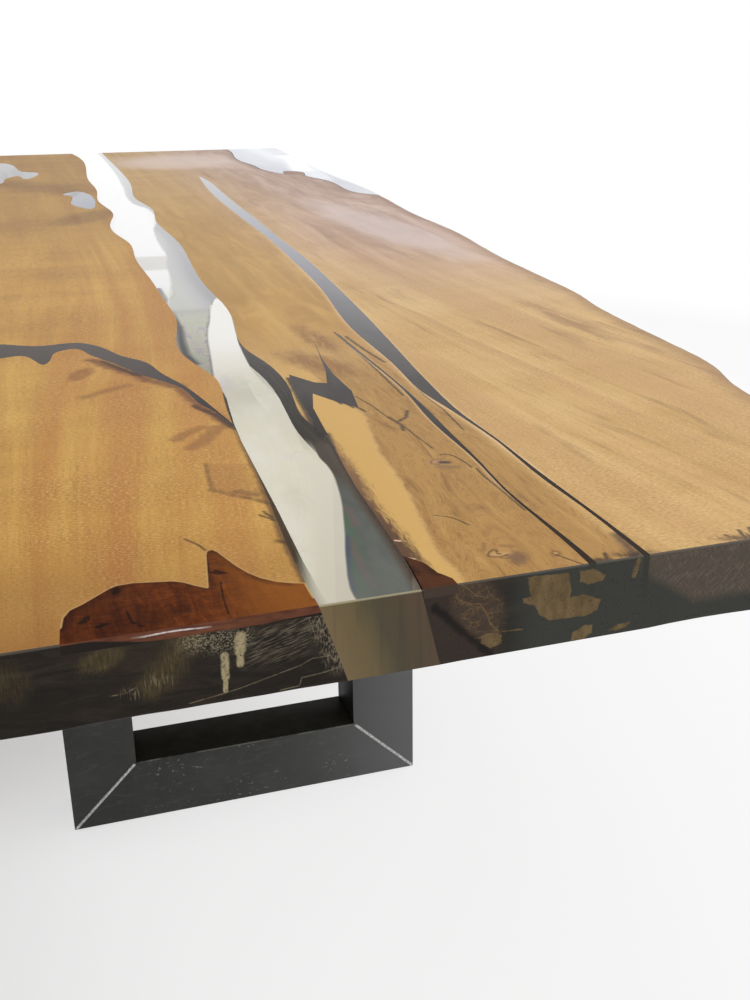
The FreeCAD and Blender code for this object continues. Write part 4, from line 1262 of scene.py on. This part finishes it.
def steel():
    """Blackened steel under a satin clear coat: mottled, with pale specks; painted light grows towards +x, a
    painted highlight runs along the rail's top edge, and inner and upward faces get painted shade.
    """
    paint = Paint("raw_steel")
    mottle = paint.noise(14, 5, 0.65, 0.6)
    smears = paint.noise((10, 10, 3), 4, 0.6, 0.5)
    tone = mottle * 0.6 + smears * 0.4
    paint.colour = tone.ramp((0.35, "1d1e1b"), (0.5, "272824"), (0.65, "33342f"))
    scuffs = paint.noise((26, 26, 90), 5, 0.72, 1.2)
    paint.mark("4d4e47", 0.45, scuffs.rise(0.5, 0.72))
    # Painted light: the steel is lighter towards +x, as if lit from the right.
    lit = paint.along([(-0.3, 0), (-0.1, 0.06), (0, 0.11), (0.1, 0.27), (0.15, 0.42), (0.2, 0.66),
            (0.25, 0.8), (0.3, 0.85)], paint.x)
    paint.mark("6c6d6e", 1, lit)
    # Painted shade: the inner faces of the right upright are darkened and lose their gloss.
    inner = paint.facing(0).rise(-0.5, -0.9) * paint.x.rise(0, 0.1)
    # Painted shade: low, upward faces such as the rails' tops are darkened and lose their gloss.
    shaded_upward = paint.facing(2).rise(0.5, 0.9) * paint.z.rise(0.3, 0.2)
    on_rail = paint.x.between(-0.16, 0.16, 0.012) * paint.z.rise(0.106, 0.102)
    clusters = paint.noise((11, 11, 30), 3, 0.6).rise(0.44, 0.62)
    specks = paint.noise((150, 150, 210), 2, 0.5, 0.4).rise(0.645, 0.69)
    paint.mark("8f8f86", 0.7, specks * clusters * on_rail)
    # Painted highlight: a thin, broken pale line along the rail's front top edge.
    rail_edge_highlight = paint.z.between(0.1, 0.1018, 0.0008) * paint.noise(30, 4, 0.7).rise(0.42, 0.6)
    paint.mark("77786f", 0.6, rail_edge_highlight * on_rail)
    paint.mark("272723", 0.92, shaded_upward)
    paint.mark("0b0b0b", 0.9, inner)
    roughness = paint.noise(40, 4, 0.6).spread(0.38, 0.56)
    normal = paint.bump(paint.noise(260, 3, 0.6), 0.0004, 0.3)
    gloss = most(inner, shaded_upward).spread(0.4, 0.03)
    return paint.surface(Roughness=roughness, Specular_IOR_Level=gloss, Normal=normal)


def weld_metal():
    """Bright, uneven metal of the weld beads."""
    paint = Paint("weld_metal")
    tone = paint.noise(300, 4, 0.65)
    paint.colour = tone.ramp((0.3, "8d8d8a"), (0.5, "bdbdba"), (0.68, "e6e6e3"))
    normal = paint.bump(paint.noise(420, 3, 0.6), 0.001, 0.6)
    return paint.surface(Roughness=0.42, Metallic=0.5, Normal=normal)


def plain(name, low, high, roughness, metallic):
    """A small part's material, with a fine grain."""
    paint = Paint(name)
    tone = paint.noise(220, 4, 0.6) * 0.6 + paint.noise(900, 2) * 0.4
    paint.colour = tone.ramp((0.3, low), (0.7, high))
    spots = paint.noise(400, 3, 0.6).spread(roughness - 0.08, roughness + 0.08)
    return paint.surface(Roughness=spots, Metallic=metallic)


# Pieces
CHIP_SPACING = 0.0025
CHIP_FRONT_GAP = 0.001
STEEL_ARRIS = 0.0012
BEAD_PITCH = 0.0034
BEAD_STEP = 0.0006
BEAD_SIDES = 9

# Edges that turn by more degrees than these are shaded sharp
SLAB_TURN, STEEL_TURN, BEAD_TURN = 35, 40, 60


def chip_casting(node, material):
    """A chip's resin with a dense top, whose points know how far they lie from its outline."""
    outline = rims(node, TOP)[0]
    columns, rows = (np.arange(low, high, CHIP_SPACING) for low, high in zip(outline.min(0), outline.max(0)))
    places = [Vector(p) for p in outline] + [Vector((x, y)) for x in columns for y in rows]
    ring = [(i, (i + 1) % len(outline)) for i in range(len(outline))]
    verts, _, faces, *_ = delaunay_2d_cdt(places, ring, [], 1, 1e-6)
    bm = bmesh.new()
    bm.from_mesh(NODES[node].data)
    level = [face for face in bm.faces if face.calc_center_median().z > TOP - WELD_GRID]
    bmesh.ops.delete(bm, geom=level, context="FACES")
    top = [bm.verts.new((*place, TOP)) for place in verts]
    for face in faces:
        bm.faces.new([top[i] for i in face])
    bmesh.ops.remove_doubles(bm, verts=bm.verts, dist=WELD_GRID)
    bmesh.ops.recalc_face_normals(bm, faces=bm.faces)
    mesh = made_mesh(node, bm, material)
    inner = outline[outline[:, 1] > front_y(outline[:, 0]) + CHIP_FRONT_GAP]
    distance = mesh.attributes.new("from_edge", "FLOAT", "POINT")
    for vertex, value in zip(mesh.vertices, distance.data):
        value.value = distance_to_path(np.array(vertex.co[:2]), inner)
    return mesh


def distance_to_path(place, path):
    """The least distance from a place to an open path's segments."""
    start, step = path[:-1], np.diff(path, axis=0)
    share = np.clip(((place - start) * step).sum(1) / (step ** 2).sum(1), 0, 1)
    return float(np.hypot(*(start + step * share[:, None] - place).T).min())


def softened(node, material):
    """A CAD node's shape with rounded edges."""
    bm = bmesh.new()
    bm.from_mesh(NODES[node].data)
    bmesh.ops.remove_doubles(bm, verts=bm.verts, dist=WELD_GRID)
    bmesh.ops.dissolve_limit(bm, angle_limit=math.radians(1), verts=bm.verts, edges=bm.edges)
    sharp = [edge for edge in bm.edges if edge.is_manifold and edge.calc_face_angle() > math.radians(30)]
    bmesh.ops.bevel(bm, geom=sharp, offset=STEEL_ARRIS, segments=2, profile=0.5, affect="EDGES",
                    clamp_overlap=True)
    mesh = made_mesh(node, bm, material)
    smooth(mesh, STEEL_TURN)
    return mesh


def weld_beads(node, material):
    """A CAD node's weld seams, with the ripples of hand-laid beads."""
    points = np.array([vertex.co for vertex in NODES[node].data.vertices])
    middle = (points.min(0) + points.max(0)) / 2
    turns = np.linspace(0, math.pi, BEAD_SIDES)
    bm = bmesh.new()
    for hand, face in ((-1, -1), (-1, 1), (1, -1), (1, 1)):
        seam = points[((points[:, 0] - middle[0]) * hand > 0) & ((points[:, 1] - middle[1]) * face > 0)]
        along, side = (Vector((sign * hand, 0, 1)).normalized() for sign in (-1, 1))
        reach, offset = seam @ along, seam @ side
        height = np.ptp(seam[:, 1])
        foot = (seam[:, 1] * face).min() * face
        rings = []
        for place in np.arange(reach.min(), reach.max(), BEAD_STEP):
            ripple = abs(math.sin(math.pi * place / BEAD_PITCH + noise.noise((place * 160, hand, face))))
            from_end = min(place - reach.min() + BEAD_STEP, reach.max() - place)
            thick = (0.80 + 0.20 * ripple) * math.sqrt(min(1.0, from_end / height))
            centre = along * place + side * (offset.min() + offset.max()) / 2 + Vector((0, foot, 0))
            across = side * thick * np.ptp(offset) / 2
            outwards = Vector((0, face * thick * height, 0))
            rings.append([bm.verts.new(centre + across * math.cos(turn) + outwards * math.sin(turn))
                          for turn in turns])
        for here, there in zip(rings, rings[1:]):
            for i in range(BEAD_SIDES):
                bm.faces.new((here[i], here[i - 1], there[i - 1], there[i]))
        bm.faces.new(rings[0])
        bm.faces.new(rings[-1])
    bmesh.ops.recalc_face_normals(bm, faces=bm.faces)
    mesh = made_mesh(node, bm, material)
    smooth(mesh, BEAD_TURN)
    return mesh


LEFT_WOOD = wood("left_wood", (0.91, 0.278, 0.0, 0.13), ("be893b", "cf9b43", "dcab4f", "bf7d34"),
                 left_features)
RIGHT_WOOD = wood("right_wood", (-1.0, 0.145, -0.13, 0.12), ("c59954", "d6ab68", "dfb877", "ca9b60"),
                  right_features)
SIDES = [end_grain(), live_wood(), river_wall()]
SAWN_ENDS = (END_GRAIN, sawn_shape)

left_walls = walls_round((*LEFT_EDGE, LIVE, live_shape), (*RIVER_LEFT, RIVER_WALL, river_shape), SAWN_ENDS)
right_walls = walls_round((*RIVER_RIGHT, RIVER_WALL, river_shape), (*RIGHT_EDGE, LIVE, live_shape), SAWN_ENDS)
river_walls = walls_round((*RIVER_LEFT, RESIN, resin_shape), (*RIVER_RIGHT, RESIN, resin_shape),
                          (RESIN_END, flush_shape))
left = piece("left_wood_slab", ring_mesh("left_wood_slab", left_walls, [LEFT_WOOD, *SIDES]), "left_wood",
             "left_slab")
right = piece("right_wood_slab", ring_mesh("right_wood_slab", right_walls, [RIGHT_WOOD, *SIDES]),
              "right_wood", "right_slab")
cut_pockets(left, ["left_crack_resin", "inner_pocket_resin", "outer_pocket_resin", "left_chip_resin"])
cut_pockets(right, ["long_crack_resin", "branch_crack_resin", "star_pocket_resin", "right_chip_resin"])
river = piece("river_casting", ring_mesh("river_casting", river_walls, [clear_resin(), resin_end()]),
              "clear_resin", "river_resin")
for made in (left, right, river):
    smooth(made.data, SLAB_TURN)
    for polygon in made.data.polygons:
        polygon.use_smooth = polygon.material_index != END_GRAIN and abs(polygon.normal.z) < LEVEL

AMBER = amber_resin()
for side in ("left", "right"):
    node = f"{side}_chip_resin"
    piece(f"{side}_chip_casting", chip_casting(node, AMBER), "amber_resin", node)

STEEL, WELD, DARK, PALE = steel(), weld_metal(), dark_resin(), pale_resin()
for node in NODES:
    if node.endswith(("upright", "rail", "flange")):
        piece(f"{node}_steel", softened(node, STEEL), "raw_steel", node)
    elif node.endswith("weld_seams"):
        piece(f"{node}_beads", weld_beads(node, WELD), "weld_metal", node)
for node in ("long_crack_resin", "branch_crack_resin", "left_crack_resin", "star_pocket_resin"):
    dress(node, DARK)
for node in ("corner_pocket_resin", "inner_pocket_resin", "outer_pocket_resin"):
    dress(node, PALE)
dress("flange_screws", plain("black_oxide", "1f1f20", "333335", 0.4, 0.8))
dress("washers", plain("washer_steel", "6a6b6d", "8c8d90", 0.35, 1.0))
dress("threaded_inserts", plain("turned_brass", "9c7a35", "c9a552", 0.3, 1.0))
dress("glides", plain("glide_plastic", "141414", "1d1d1e", 0.6, 0.0))

bpy.context.scene.view_settings.view_transform = "Standard"
